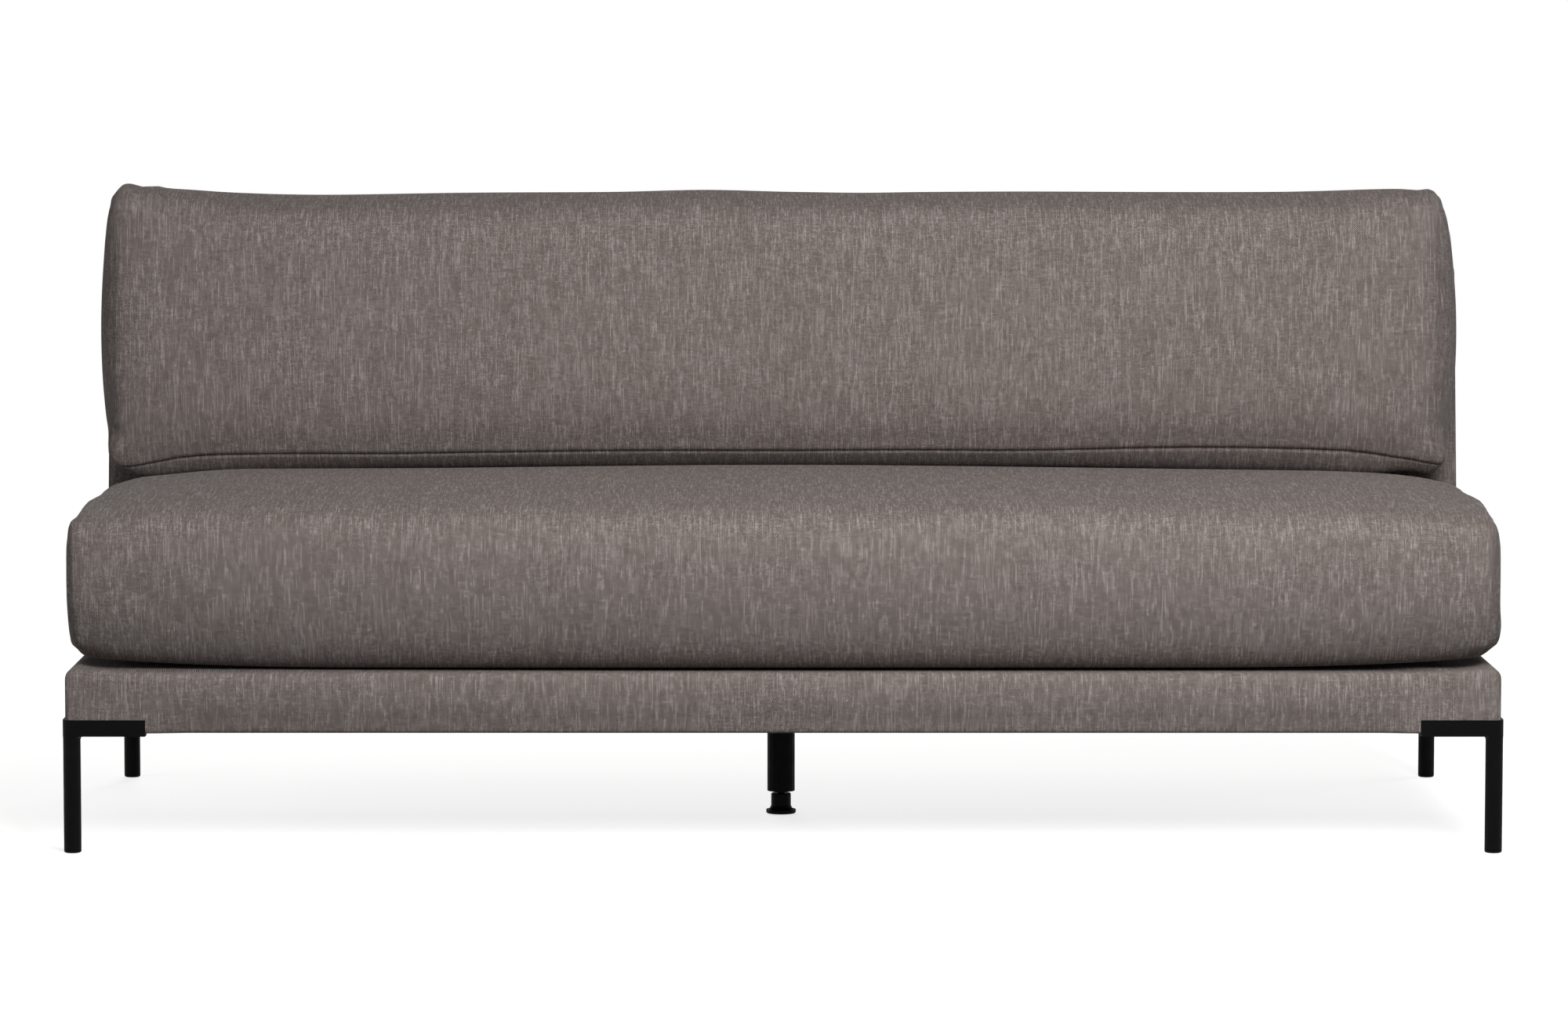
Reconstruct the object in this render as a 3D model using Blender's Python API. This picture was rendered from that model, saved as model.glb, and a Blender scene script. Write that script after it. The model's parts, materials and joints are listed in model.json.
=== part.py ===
"""Dining sofa module: an armless upholstered bench on four corner legs and a levelling centre leg.

Metres, +Z up. X runs along the width, the front faces -Y, and the origin is on the floor under the
middle of the module. A timber base carries a bolted back frame, and two loose cushions lie on them.
"""

import math

import bmesh
import bpy
from mathutils import Vector

# Overall sizes
WIDTH = 1.800  # over the leg brackets
DEPTH = 0.760  # over the leg brackets
LEG_HEIGHT = 0.150  # floor to the underside of the base
BASE_HEIGHT = 0.080
BACK_HEIGHT = 0.490  # of the upholstered back frame, above the base
BACK_DEPTH = 0.220  # of the back frame where it stands on the base
BACK_RAKE = math.radians(9.0)  # lean of the back frame's front

# Clearances
FIT = 0.0003  # between pieces that touch or seat
HOLE_CLEARANCE = 0.0005  # round a bolt's shank or the centre tube
SHARP = 0.0005  # radius of an edge that is left sharp

# Upholstery layers
COVER = 0.0015  # woven cover with its backing
COVER_TURN_UNDER = 0.025  # cover folded and stapled under a frame
BASE_PADDING = 0.005
BASE_EDGE = 0.008  # radius of the base's top edge
BACK_PADDING = 0.010
BACK_EDGE = 0.022  # radius of the back frame's top edge
BACK_CORNER = 0.014  # radius of the back frame's upright edges
DUST_COVER = 0.0006

# Timber
RAIL = 0.025
BOARD = 0.018
REAR_PANEL = 0.003
CENTER_BOARD = 0.022
CENTER_BOARD_WIDTH = 0.120
CORNER_BLOCK = 0.090  # length of a corner block's two square sides
INNER_POST_OFFSET = 0.300  # of an inner back post from the middle

# Elastic webbing
STRAP = 0.0016
STRAP_WIDTH = 0.080
STRAP_LAP = 0.020  # strap stapled down on a rail
SEAT_STRAPS = 6
BACK_STRAPS = 3

# Corner legs
TUBE = 0.022
TUBE_WALL = 0.0015
BRACKET_GAUGE = 0.003
BRACKET_ARM = 0.104
BRACKET_UPSTAND = 0.0205
BRACKET_TIP = 0.020  # width of the bracket's plate at the end of an arm
WELD_FILLET = 0.0045
GLIDE_FLANGE = 0.004
GLIDE_PLUG = 0.012
GLIDE_EDGE = 0.0025

# Bolts
BOLT = 0.008
BOLT_HEAD = 0.017
BOLT_HEAD_HEIGHT = 0.003
BACK_BOLTS = 4
LEG_BOLT_DEPTH = 0.034  # in its corner block
LEG_BOLT_EDGE = 0.022  # bolt axis to the block's two square sides

# Centre leg
CENTER_TUBE = 0.036
CENTER_TUBE_WALL = 0.0015
CENTER_TUBE_END = 0.032  # height of the tube's lower end
CENTER_CAP = 0.004  # thickness of the tube's closed top
CENTER_STUD = 0.008
CENTER_STUD_LENGTH = 0.018
INSERT_FLANGE = 0.002
INSERT_PLUG = 0.020
STEM = 0.010
STEM_TOP = 0.075
COLLAR = 0.026
COLLAR_BOTTOM = 0.0100
COLLAR_TOP = 0.0265
COLLAR_CHAMFER = 0.001
PAD = 0.039
PAD_HEIGHT = 0.0097
PAD_RIM = 0.005
PAD_NECK = 0.027
PAD_SOCKET_FLOOR = 0.0035

# Seat cushion
SEAT_SIDE_INSET = 0.004  # short of the module's ends
SEAT_THICKNESS = 0.213
SEAT_CROWN = 0.012
SEAT_TOP_EDGE = 0.055
SEAT_BOTTOM_EDGE = 0.035
SEAT_BULGE = 0.008  # of the front panel
SEAT_CORNER_LIFT = 0.010  # of the bottom corners
SEAT_DRAW_IN = 0.006  # of the ends, in between their corners
SEAT_REAR_GAP = 0.006  # to the back frame's foot

# Back cushion
CUSHION_SIDE_INSET = 0.003
CUSHION_HEIGHT = 0.359
CUSHION_THICKNESS = 0.125
CUSHION_CROWN = 0.020
CUSHION_TOP_EDGE = 0.050
CUSHION_BOTTOM_EDGE = 0.018
CUSHION_DRAW_IN = 0.026  # of the corners, in from the full ends
CUSHION_CORNER_LIFT = 0.006
CUSHION_TUCK = 0.012  # how far the foot of the rear face stands off the back frame
CUSHION_TUCK_HEIGHT = 0.110

# Cushion filling and zips
FILL_CLEARANCE = 0.0006  # filling to the inside of its cover
ZIP_OPENING = 0.008
ZIP_CHAIN = 0.005
ZIP_CHAIN_RISE = 0.0012
ZIP_END_MARGIN = 0.150
SLIDER_LENGTH = 0.014
SLIDER_HEIGHT = 0.0076
SLIDER_WALL = 0.0015
CUSHION_ZIP_HEIGHT = 0.040  # above the cushion's underside

# Facet counts
ROUND = 20
BOLT_ROUND = 12
CORNER_STEPS = 3
EDGE_STEPS = 3
SEAT_CELLS = (9, 4, 2)  # along X, Y and Z
CUSHION_CELLS = (9, 2, 5)
SHARP_ANGLE = math.radians(35)  # edges over this are shaded sharp

# Places that follow from the sizes
BASE_X = WIDTH / 2 - BRACKET_GAUGE - FIT
BASE_Y = DEPTH / 2 - BRACKET_GAUGE - FIT
BASE_TOP = LEG_HEIGHT + BASE_HEIGHT
LEG_CORNER = TUBE / 2 + FIT  # leg axis to the bracket's outer faces, and the bracket's corner radius
BASE_CORNER = max(LEG_CORNER - BRACKET_GAUGE - FIT, SHARP)
BRACKET_BOTTOM = LEG_HEIGHT - BRACKET_GAUGE
RAIL_INSET = COVER + BASE_PADDING + 2 * FIT
RAIL_X = BASE_X - RAIL_INSET
RAIL_Y = BASE_Y - RAIL_INSET
RAIL_BOTTOM = LEG_HEIGHT + COVER + 2 * FIT
WEBBING_BAND = STRAP + FIT
RAIL_TOP = BASE_TOP - COVER - BASE_PADDING - 2 * FIT - WEBBING_BAND
INNER_X = RAIL_X - RAIL - FIT  # clear half width between the end rails
INNER_Y = RAIL_Y - RAIL - FIT
BACK_FOOT = BASE_Y - BACK_DEPTH  # front of the back frame at the base's top
WEBBING_RAIL_FRONT = BACK_FOOT - RAIL / 2
WEBBING_RAIL_REAR = BACK_FOOT + RAIL / 2
BACK_X = WIDTH / 2
BACK_TOP = BASE_TOP + BACK_HEIGHT
BACK_INSET = COVER + BACK_PADDING + 2 * FIT
FRAME_X = BACK_X - BACK_INSET
FRAME_REAR = BASE_Y - BACK_INSET - REAR_PANEL - FIT
FRAME_BOTTOM = BASE_TOP + COVER + 2 * FIT
FRAME_TOP = BACK_TOP - BACK_INSET
POST_BOTTOM = FRAME_BOTTOM + BOARD + FIT
POST_TOP = FRAME_TOP - BOARD - FIT
POST_INSET = BACK_INSET + (STRAP + 2 * FIT) / math.cos(BACK_RAKE)
BOLT_Y = (WEBBING_RAIL_REAR + INNER_Y) / 2
SEAT_HALF = Vector((WIDTH / 2 - SEAT_SIDE_INSET,
                    (BACK_FOOT - SEAT_REAR_GAP + DEPTH / 2 - SEAT_BULGE) / 2,
                    SEAT_THICKNESS / 2))
SEAT_CENTER = Vector((0, BACK_FOOT - SEAT_REAR_GAP - SEAT_HALF.y, BASE_TOP + FIT + SEAT_HALF.z))
CUSHION_HALF = Vector((WIDTH / 2 - CUSHION_SIDE_INSET, CUSHION_THICKNESS / 2, CUSHION_HEIGHT / 2))

MATERIALS = {
    "upholstery_weave": ("8B8279", 0.95, 0.0),
    "black_powder_coat": ("1B1B1C", 0.55, 0.0),
    "pine": ("C9A878", 0.70, 0.0),
    "plywood": ("C2A27A", 0.70, 0.0),
    "fibreboard": ("8A6B4A", 0.80, 0.0),
    "webbing": ("3A3A3D", 0.90, 0.0),
    "foam": ("E6DFC8", 0.95, 0.0),
    "wadding": ("EDEDEA", 1.00, 0.0),
    "dust_cloth": ("202022", 0.95, 0.0),
    "black_nylon": ("161617", 0.50, 0.0),
    "zinc_steel": ("A9ABAE", 0.35, 1.0),
    "zip_tape": ("6F675F", 0.80, 0.0),
}


def clear_scene():
    for obj in list(bpy.data.objects):
        bpy.data.objects.remove(obj)


def linear(hex_colour):
    """The linear RGBA of an sRGB hex colour."""
    channels = [int(hex_colour[i:i + 2], 16) / 255 for i in (0, 2, 4)]
    return [c / 12.92 if c <= 0.04045 else ((c + 0.055) / 1.055) ** 2.4 for c in channels] + [1.0]


def material(name):
    """The named material, made once."""
    found = bpy.data.materials.get(name)
    if found:
        return found
    colour, roughness, metallic = MATERIALS[name]
    made = bpy.data.materials.new(name)
    made.use_nodes = True
    shader = made.node_tree.nodes["Principled BSDF"]
    shader.inputs["Base Color"].default_value = linear(colour)
    shader.inputs["Roughness"].default_value = roughness
    shader.inputs["Metallic"].default_value = metallic
    return made


def assembly(name, parent=None, location=(0, 0, 0)):
    """An empty that its pieces hang from."""
    empty = bpy.data.objects.new(name, None)
    bpy.context.scene.collection.objects.link(empty)
    empty.parent = parent
    empty.location = location
    return empty


def solid(name, bm, material_name, smooth=True):
    """An object made of a closed bmesh, with its faces pointing out."""
    bmesh.ops.recalc_face_normals(bm, faces=bm.faces)
    mesh = bpy.data.meshes.new(name)
    bm.to_mesh(mesh)
    bm.free()
    obj = bpy.data.objects.new(name, mesh)
    bpy.context.scene.collection.objects.link(obj)
    mesh.materials.append(material(material_name))
    obj["smooth"] = smooth
    return obj


def combine(obj, operation, tool):
    """Applies one Boolean between two objects at the origin, and removes the second."""
    modifier = obj.modifiers.new("combine", "BOOLEAN")
    modifier.operation = operation
    modifier.object = tool
    graph = bpy.context.evaluated_depsgraph_get()
    mesh = bpy.data.meshes.new_from_object(obj.evaluated_get(graph))
    obj.modifiers.clear()
    obj.data = mesh
    bpy.data.objects.remove(tool)


def place(obj, parent, location=(0, 0, 0), rotation=(0, 0, 0)):
    """Hangs a finished piece on its assembly, and shades it if it is round."""
    obj.parent = parent
    obj.location = Vector(location) - parent.location
    obj.rotation_euler = rotation
    if obj.pop("smooth"):
        obj.data.shade_smooth()
        obj.data.set_sharp_from_angle(angle=SHARP_ANGLE)
    return obj


def smoothstep(value):
    value = min(max(value, 0.0), 1.0)
    return value * value * (3 - 2 * value)


def arc(center, radius, start, end, steps):
    """Points of an arc between two angles in degrees."""
    angles = [math.radians(start + (end - start) * i / steps) for i in range(steps + 1)]
    return [(center[0] + radius * math.cos(a), center[1] + radius * math.sin(a)) for a in angles]


def add_prism(bm, outline, bottom, top):
    """An upright prism on a plan outline."""
    low = [bm.verts.new((x, y, bottom)) for x, y in outline]
    high = [bm.verts.new((x, y, top)) for x, y in outline]
    count = len(outline)
    for i in range(count):
        j = (i + 1) % count
        bm.faces.new((low[i], low[j], high[j], high[i]))
    bm.faces.new(low[::-1])
    bm.faces.new(high)


def add_box(bm, low, high):
    """A box between two corners."""
    outline = [(low[0], low[1]), (high[0], low[1]), (high[0], high[1]), (low[0], high[1])]
    add_prism(bm, outline, low[2], high[2])


def add_bar(bm, profile, half_length):
    """A straight bar along X with a (y, z) profile."""
    left = [bm.verts.new((-half_length, y, z)) for y, z in profile]
    right = [bm.verts.new((half_length, y, z)) for y, z in profile]
    count = len(profile)
    for i in range(count):
        j = (i + 1) % count
        bm.faces.new((left[i], left[j], right[j], right[i]))
    bm.faces.new(left[::-1])
    bm.faces.new(right)


def add_turned(bm, profile, steps, closed=False, center=(0, 0)):
    """A body of revolution about an upright axis, from a (radius, z) profile.

    An open profile starts and ends on the axis, and a closed one makes a ring.
    """
    rings = []
    for radius, z in profile:
        if radius == 0:
            rings.append([bm.verts.new((center[0], center[1], z))])
            continue
        angles = [2 * math.pi * i / steps for i in range(steps)]
        rings.append([bm.verts.new((center[0] + radius * math.cos(a),
                                    center[1] + radius * math.sin(a), z)) for a in angles])
    pairs = list(zip(rings, rings[1:]))
    if closed:
        pairs.append((rings[-1], rings[0]))
    for low, high in pairs:
        for i in range(steps):
            j = (i + 1) % steps
            corners = (low[i % len(low)], low[j % len(low)], high[j % len(high)], high[i % len(high)])
            bm.faces.new(list(dict.fromkeys(corners)))


def board(name, low, high, material_name, parent, holes=()):
    """A rectangular board between two corners, with upright holes of (x, y, radius)."""
    bm = bmesh.new()
    add_box(bm, low, high)
    obj = solid(name, bm, material_name, smooth=False)
    drill(obj, holes, low[2] - FIT, high[2] + FIT)
    return place(obj, parent)


def drill(obj, holes, bottom, top):
    """Cuts upright holes of (x, y, radius) between two heights.

    A hole's facets lie outside its radius.
    """
    if not holes:
        return
    bm = bmesh.new()
    for x, y, radius in holes:
        radius /= math.cos(math.pi / BOLT_ROUND)
        add_turned(bm, [(0, bottom), (radius, bottom), (radius, top), (0, top)], BOLT_ROUND,
                   center=(x, y))
    combine(obj, "DIFFERENCE", solid("drill", bm, "zinc_steel"))


def plan_ring(bm, half_x, front, rear, radius, z):
    """The vertices of one level rounded rectangle."""
    corners = [((half_x - radius, rear - radius), 0), ((-half_x + radius, rear - radius), 90),
               ((-half_x + radius, front + radius), 180), ((half_x - radius, front + radius), 270)]
    outline = []
    for center, start in corners:
        outline += arc(center, radius, start, start + 90, CORNER_STEPS)
    return [bm.verts.new((x, y, z)) for x, y in outline]


def add_tray(bm, half_x, front_at, rear, bottom, top, wall, corner, edge, inner_radius, turn_under=0.0):
    """An upside-down tray: walls and a top of one thickness, open below.

    The front wall follows front_at(z). The top edge is rounded outside, the inside has inner_radius
    at its edges and corners, and turn_under folds the walls' feet inward.
    """
    def level(inset, corner_radius, z):
        return plan_ring(bm, half_x - inset, front_at(z) + inset, rear - inset, corner_radius, z)

    def walls(inset, low, high, corner_radius, edge_radius):
        rings = [level(inset, corner_radius, low)]
        for i in range(EDGE_STEPS + 1):
            angle = math.pi / 2 * i / EDGE_STEPS
            step_in = edge_radius * (1 - math.cos(angle))
            z = high - edge_radius * (1 - math.sin(angle))
            rings.append(level(inset + step_in, max(corner_radius - step_in, SHARP), z))
        return rings

    inner_low = bottom + wall if turn_under else bottom
    outside = walls(0, bottom, top, corner, edge)
    inside = walls(wall, inner_low, top - wall, inner_radius[0], inner_radius[1])
    if turn_under:
        outside.insert(0, level(turn_under, SHARP, bottom))
        inside.insert(0, level(turn_under, SHARP, inner_low))
    rings = outside[::-1] + inside
    for low, high in zip(rings, rings[1:]):
        for i in range(len(low)):
            j = (i + 1) % len(low)
            bm.faces.new((low[i], low[j], high[j], high[i]))
    bm.faces.new(rings[0])
    bm.faces.new(rings[-1][::-1])


def rounded_box_point(point, half, top_edge, bottom_edge):
    """A point of a box's surface moved onto the box with round edges.

    The radius grows from bottom_edge to top_edge with height.
    """
    level = smoothstep((point.z / half.z + 1) / 2)
    radius = bottom_edge + (top_edge - bottom_edge) * level
    core = Vector([min(max(p, radius - h), h - radius) for p, h in zip(point, half)])
    return core + (point - core).normalized() * radius


def cushion_bmesh(half, top_edge, bottom_edge, cells, inset, form):
    """A closed cushion surface: a round-edged box, reduced by inset, moved by form.

    cells are the counts of cells between the rounded edges along X, Y and Z. form takes a point and
    its place as shares of the half sizes, and returns the moved point.
    """
    half = half - Vector((inset, inset, inset))
    top_edge = top_edge - inset
    bottom_edge = max(bottom_edge - inset, SHARP)
    bm = bmesh.new()
    add_box(bm, -half, half)
    eased = 1 - math.tan(math.pi / 8)
    for axis, count in enumerate(cells):
        low = -half[axis] + (bottom_edge if axis == 2 else top_edge)
        high = half[axis] - top_edge
        cuts = [low + (high - low) * i / count for i in range(count + 1)]
        cuts += [half[axis] - top_edge * eased, -half[axis] + (low + half[axis]) * eased]
        for cut in cuts:
            origin = Vector((0, 0, 0))
            normal = Vector((0, 0, 0))
            origin[axis] = cut
            normal[axis] = 1
            bmesh.ops.bisect_plane(bm, geom=bm.verts[:] + bm.edges[:] + bm.faces[:],
                                   plane_co=origin, plane_no=normal)
    for vert in bm.verts:
        rounded = rounded_box_point(vert.co, half, top_edge, bottom_edge)
        share = Vector([p / h for p, h in zip(rounded, half)])
        vert.co = form(rounded, share)
    return bm


def seat_form(point, share):
    """The seat cushion's shape: crowned top, full front, lifted bottom corners, drawn-in ends."""
    u, v, w = share
    top = smoothstep((w + 1) / 2)
    front = max(-v, 0) ** 2
    lift = SEAT_CORNER_LIFT * u ** 6 * (1 - top)
    crown = SEAT_CROWN * (1 - u * u) * (1 - v ** 4) * top
    draw_in = math.copysign(SEAT_DRAW_IN * abs(u) ** 3 * (1 - v * v), u)
    bulge = SEAT_BULGE * (1 - w * w) * (1 - u ** 4) * front
    return SEAT_CENTER + point + Vector((-draw_in, -bulge, crown + lift))


def seat_top(y):
    """Height of the seat cushion's crown above the floor, at mid width."""
    v = (y - SEAT_CENTER.y) / SEAT_HALF.y
    return SEAT_CENTER.z + SEAT_HALF.z + SEAT_CROWN * (1 - v ** 4)


def back_front(z):
    """The back frame's raked front at a height."""
    return BACK_FOOT + (z - BASE_TOP) * math.tan(BACK_RAKE)


def cushion_bottom():
    """Height of the back cushion's underside, where its front edge lies on the seat."""
    lean = back_front(BASE_TOP + SEAT_THICKNESS)
    return seat_top(lean - CUSHION_THICKNESS) + FIT


def cushion_tuck(height):
    """How far the cushion's rear face stands off the back frame, at a height above its underside."""
    return CUSHION_TUCK * smoothstep(1 - height / CUSHION_TUCK_HEIGHT)


def cushion_form(point, share):
    """The back cushion's shape: full front, drawn-in corners, lifted ends and tucked foot, leant
    back by shearing it along the back frame's front."""
    u, v, w = share
    top = smoothstep((w + 1) / 2)
    front = max(-v, 0) ** 2
    rear = max(v, 0) ** 2
    height = point.z + CUSHION_HALF.z
    draw_in = math.copysign(CUSHION_DRAW_IN * abs(u) ** 3 * w ** 4, u)
    bulge = CUSHION_CROWN * (1 - w * w) * (1 - u ** 4) * front
    lift = CUSHION_CORNER_LIFT * u ** 6 * (1 - top)
    z = cushion_bottom() + height
    y = back_front(z) - FIT - CUSHION_HALF.y + point.y - bulge - rear * cushion_tuck(height)
    return Vector((point.x - draw_in, y, z + lift))


def corner_turns():
    """The four corners as (name, x sign, y sign, turn about Z)."""
    return [("front_left", -1, -1, 0.0), ("front_right", 1, -1, math.pi / 2),
            ("rear_right", 1, 1, math.pi), ("rear_left", -1, 1, -math.pi / 2)]


def leg_bolt_offset():
    """Distance of a leg's bolt from the bracket's two outer faces."""
    return WIDTH / 2 - INNER_X + LEG_BOLT_EDGE


def add_bolt(bm, center, seat, top):
    """A low-headed bolt driven upward, with its head under the face at height seat."""
    head_top = seat - FIT
    head_bottom = head_top - BOLT_HEAD_HEIGHT
    head = BOLT_HEAD / 2
    shank = BOLT / 2
    add_turned(bm, [(0, head_bottom), (head - BOLT_HEAD_HEIGHT / 2, head_bottom),
                    (head, head_bottom + BOLT_HEAD_HEIGHT / 2), (head, head_top), (shank, head_top),
                    (shank, top - shank / 2), (shank / 2, top), (0, top)], BOLT_ROUND, center=center)


def build_base(root):
    """Timber frame, webbing, padding, cover and dust cover of the base."""
    base = assembly("base", root, (0, 0, LEG_HEIGHT))
    end_y = RAIL_Y - RAIL - FIT
    for name, low, high in (
        ("base_front_rail", (-RAIL_X, -RAIL_Y), (RAIL_X, -RAIL_Y + RAIL)),
        ("base_rear_rail", (-RAIL_X, RAIL_Y - RAIL), (RAIL_X, RAIL_Y)),
        ("base_left_rail", (-RAIL_X, -end_y), (-RAIL_X + RAIL, end_y)),
        ("base_right_rail", (RAIL_X - RAIL, -end_y), (RAIL_X, end_y)),
        ("base_webbing_rail", (-INNER_X, WEBBING_RAIL_FRONT), (INNER_X, WEBBING_RAIL_REAR)),
    ):
        board(name, (*low, RAIL_BOTTOM), (*high, RAIL_TOP), "pine", base)

    stud = [(0, 0, CENTER_STUD / 2 + FIT)]
    board("base_center_board",
          (-CENTER_BOARD_WIDTH / 2, -INNER_Y, RAIL_BOTTOM),
          (CENTER_BOARD_WIDTH / 2, WEBBING_RAIL_FRONT - FIT, RAIL_BOTTOM + CENTER_BOARD),
          "plywood", base, stud)
    bolts = [(x, BOLT_Y, BOLT / 2 + HOLE_CLEARANCE) for x in bolt_places()]
    board("base_back_board",
          (-INNER_X, WEBBING_RAIL_REAR + FIT, RAIL_TOP - BOARD), (INNER_X, INNER_Y, RAIL_TOP),
          "plywood", base, bolts)

    for name, sign_x, sign_y, turn in corner_turns():
        corner_block("corner_block_" + name, base, (sign_x * INNER_X, sign_y * INNER_Y, 0), turn)
    seat_webbing(base)

    def flat_front(inset):
        return lambda z: -BASE_Y + inset

    layer = COVER + FIT
    bm = bmesh.new()
    add_tray(bm, BASE_X - layer, flat_front(layer), BASE_Y - layer, RAIL_BOTTOM, BASE_TOP - layer,
             BASE_PADDING, max(BASE_CORNER - layer, SHARP), max(BASE_EDGE - layer, SHARP),
             (SHARP, SHARP))
    padding = solid("base_padding", bm, "wadding")
    drill(padding, bolts, RAIL_TOP, BASE_TOP)
    place(padding, base)

    bm = bmesh.new()
    add_tray(bm, BASE_X, flat_front(0), BASE_Y, LEG_HEIGHT + FIT, BASE_TOP, COVER, BASE_CORNER,
             BASE_EDGE, (max(BASE_CORNER - COVER, SHARP), max(BASE_EDGE - COVER, SHARP)),
             COVER_TURN_UNDER)
    cover = solid("base_cover", bm, "upholstery_weave")
    drill(cover, bolts, RAIL_TOP, BASE_TOP + FIT)
    place(cover, base)
    dust_cover(base)


def corner_block(name, parent, location, turn):
    """A triangular block glued into a corner of the base, which takes the leg's bolt."""
    bottom = LEG_HEIGHT + FIT
    bm = bmesh.new()
    add_prism(bm, [(0, 0), (CORNER_BLOCK, 0), (0, CORNER_BLOCK)], bottom, RAIL_TOP - BOARD - FIT)
    obj = solid(name, bm, "pine", smooth=False)
    hole = (LEG_BOLT_EDGE, LEG_BOLT_EDGE, BOLT / 2 + FIT)
    drill(obj, [hole], bottom - FIT, LEG_HEIGHT + LEG_BOLT_DEPTH + FIT)
    place(obj, parent, location, (0, 0, turn))


def seat_webbing(base):
    """Elastic straps from the front rail to the webbing rail, laid on the rails' tops."""
    pitch = 2 * INNER_X / SEAT_STRAPS
    low = RAIL_TOP + FIT
    for i in range(SEAT_STRAPS):
        x = -INNER_X + pitch * (i + 0.5)
        board("seat_strap_%d" % (i + 1),
              (x - STRAP_WIDTH / 2, -RAIL_Y + RAIL - STRAP_LAP, low),
              (x + STRAP_WIDTH / 2, WEBBING_RAIL_FRONT + STRAP_LAP, low + STRAP), "webbing", base)


def dust_cover(base):
    """Thin cloth stapled under the rails, cut away at the legs."""
    half_x = BASE_X - COVER_TURN_UNDER - FIT
    half_y = BASE_Y - COVER_TURN_UNDER - FIT
    cut = half_x + half_y - (INNER_X + INNER_Y - CORNER_BLOCK - FIT)
    outline = [(half_x - cut, -half_y), (half_x, -half_y + cut), (half_x, half_y - cut),
               (half_x - cut, half_y), (-half_x + cut, half_y), (-half_x, half_y - cut),
               (-half_x, -half_y + cut), (-half_x + cut, -half_y)]
    top = RAIL_BOTTOM - FIT
    bm = bmesh.new()
    add_prism(bm, outline, top - DUST_COVER, top)
    obj = solid("dust_cover", bm, "dust_cloth", smooth=False)
    drill(obj, [(0, 0, CENTER_TUBE / 2 + HOLE_CLEARANCE)], top - 2 * DUST_COVER, top + DUST_COVER)
    place(obj, base)


def bracket_paths():
    """The bracket's outer and inner plan lines, from one arm's end round the corner to the other's."""
    far = BRACKET_ARM - LEG_CORNER
    inside = BRACKET_GAUGE - LEG_CORNER
    inner_radius = max(LEG_CORNER - BRACKET_GAUGE, SHARP)
    outer = [(far, -LEG_CORNER)] + arc((0, 0), LEG_CORNER, 270, 180, ROUND // 4) + [(-LEG_CORNER, far)]
    inner = [(far, inside)] + arc((0, 0), inner_radius, 270, 180, ROUND // 4) + [(inside, far)]
    return outer, inner


def trim_to_bracket(point):
    """Draws a point of the weld's flare in, so that it stays under the bracket's plate."""
    reach = LEG_CORNER - FIT / 2
    share = 1.0
    if point.x < 0:
        share = min(share, reach / -point.x)
    if point.y < 0:
        share = min(share, reach / -point.y)
    if point.x < 0 and point.y < 0:
        share = min(share, reach / point.xy.length)
    return Vector((point.x * share, point.y * share, point.z))


def leg_body():
    """A corner leg: a plate with two upturned edges, and a tube welded under its corner.

    Built at the origin with the tube's axis on Z and the arms along +X and +Y.
    """
    outer, inner = bracket_paths()
    far = BRACKET_ARM - LEG_CORNER
    near = BRACKET_TIP - LEG_CORNER
    wall_top = BRACKET_BOTTOM + BRACKET_UPSTAND
    bm = bmesh.new()
    lines = ((outer, BRACKET_BOTTOM), (outer, wall_top), (inner, wall_top), (inner, LEG_HEIGHT))
    foot, rim, lip, bend = ([bm.verts.new((x, y, z)) for x, y in path] for path, z in lines)
    tips = [[bm.verts.new((*tip, z)) for z in (BRACKET_BOTTOM, LEG_HEIGHT)]
            for tip in ((far, near), (near, far))]
    for low, high in ((foot, rim), (rim, lip), (lip, bend)):
        for i in range(len(low) - 1):
            bm.faces.new((low[i], low[i + 1], high[i + 1], high[i]))
    bm.faces.new(foot + [tips[1][0], tips[0][0]])
    bm.faces.new(bend + [tips[1][1], tips[0][1]])
    bm.faces.new((tips[0][0], tips[1][0], tips[1][1], tips[0][1]))
    for end, (tip_low, tip_high) in ((0, tips[0]), (-1, tips[1])):
        bm.faces.new((foot[end], rim[end], lip[end], bend[end], tip_high, tip_low))
    leg = solid("leg", bm, "black_powder_coat")
    bolt = leg_bolt_offset() - LEG_CORNER
    drill(leg, [(bolt, bolt, BOLT / 2 + HOLE_CLEARANCE)], BRACKET_BOTTOM - FIT, LEG_HEIGHT + FIT)

    radius = TUBE / 2
    bore = radius - TUBE_WALL
    weld = BRACKET_BOTTOM + BRACKET_GAUGE / 2
    bottom = GLIDE_FLANGE + FIT
    flare = arc((radius + WELD_FILLET, BRACKET_BOTTOM - WELD_FILLET), WELD_FILLET, 180, 90, EDGE_STEPS)
    bm = bmesh.new()
    add_turned(bm, [(radius, bottom)] + flare + [(radius, weld), (bore, weld), (bore, bottom)], ROUND,
               closed=True)
    for vert in bm.verts:
        vert.co = trim_to_bracket(vert.co)
    combine(leg, "UNION", solid("tube", bm, "black_powder_coat"))
    return leg


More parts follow.
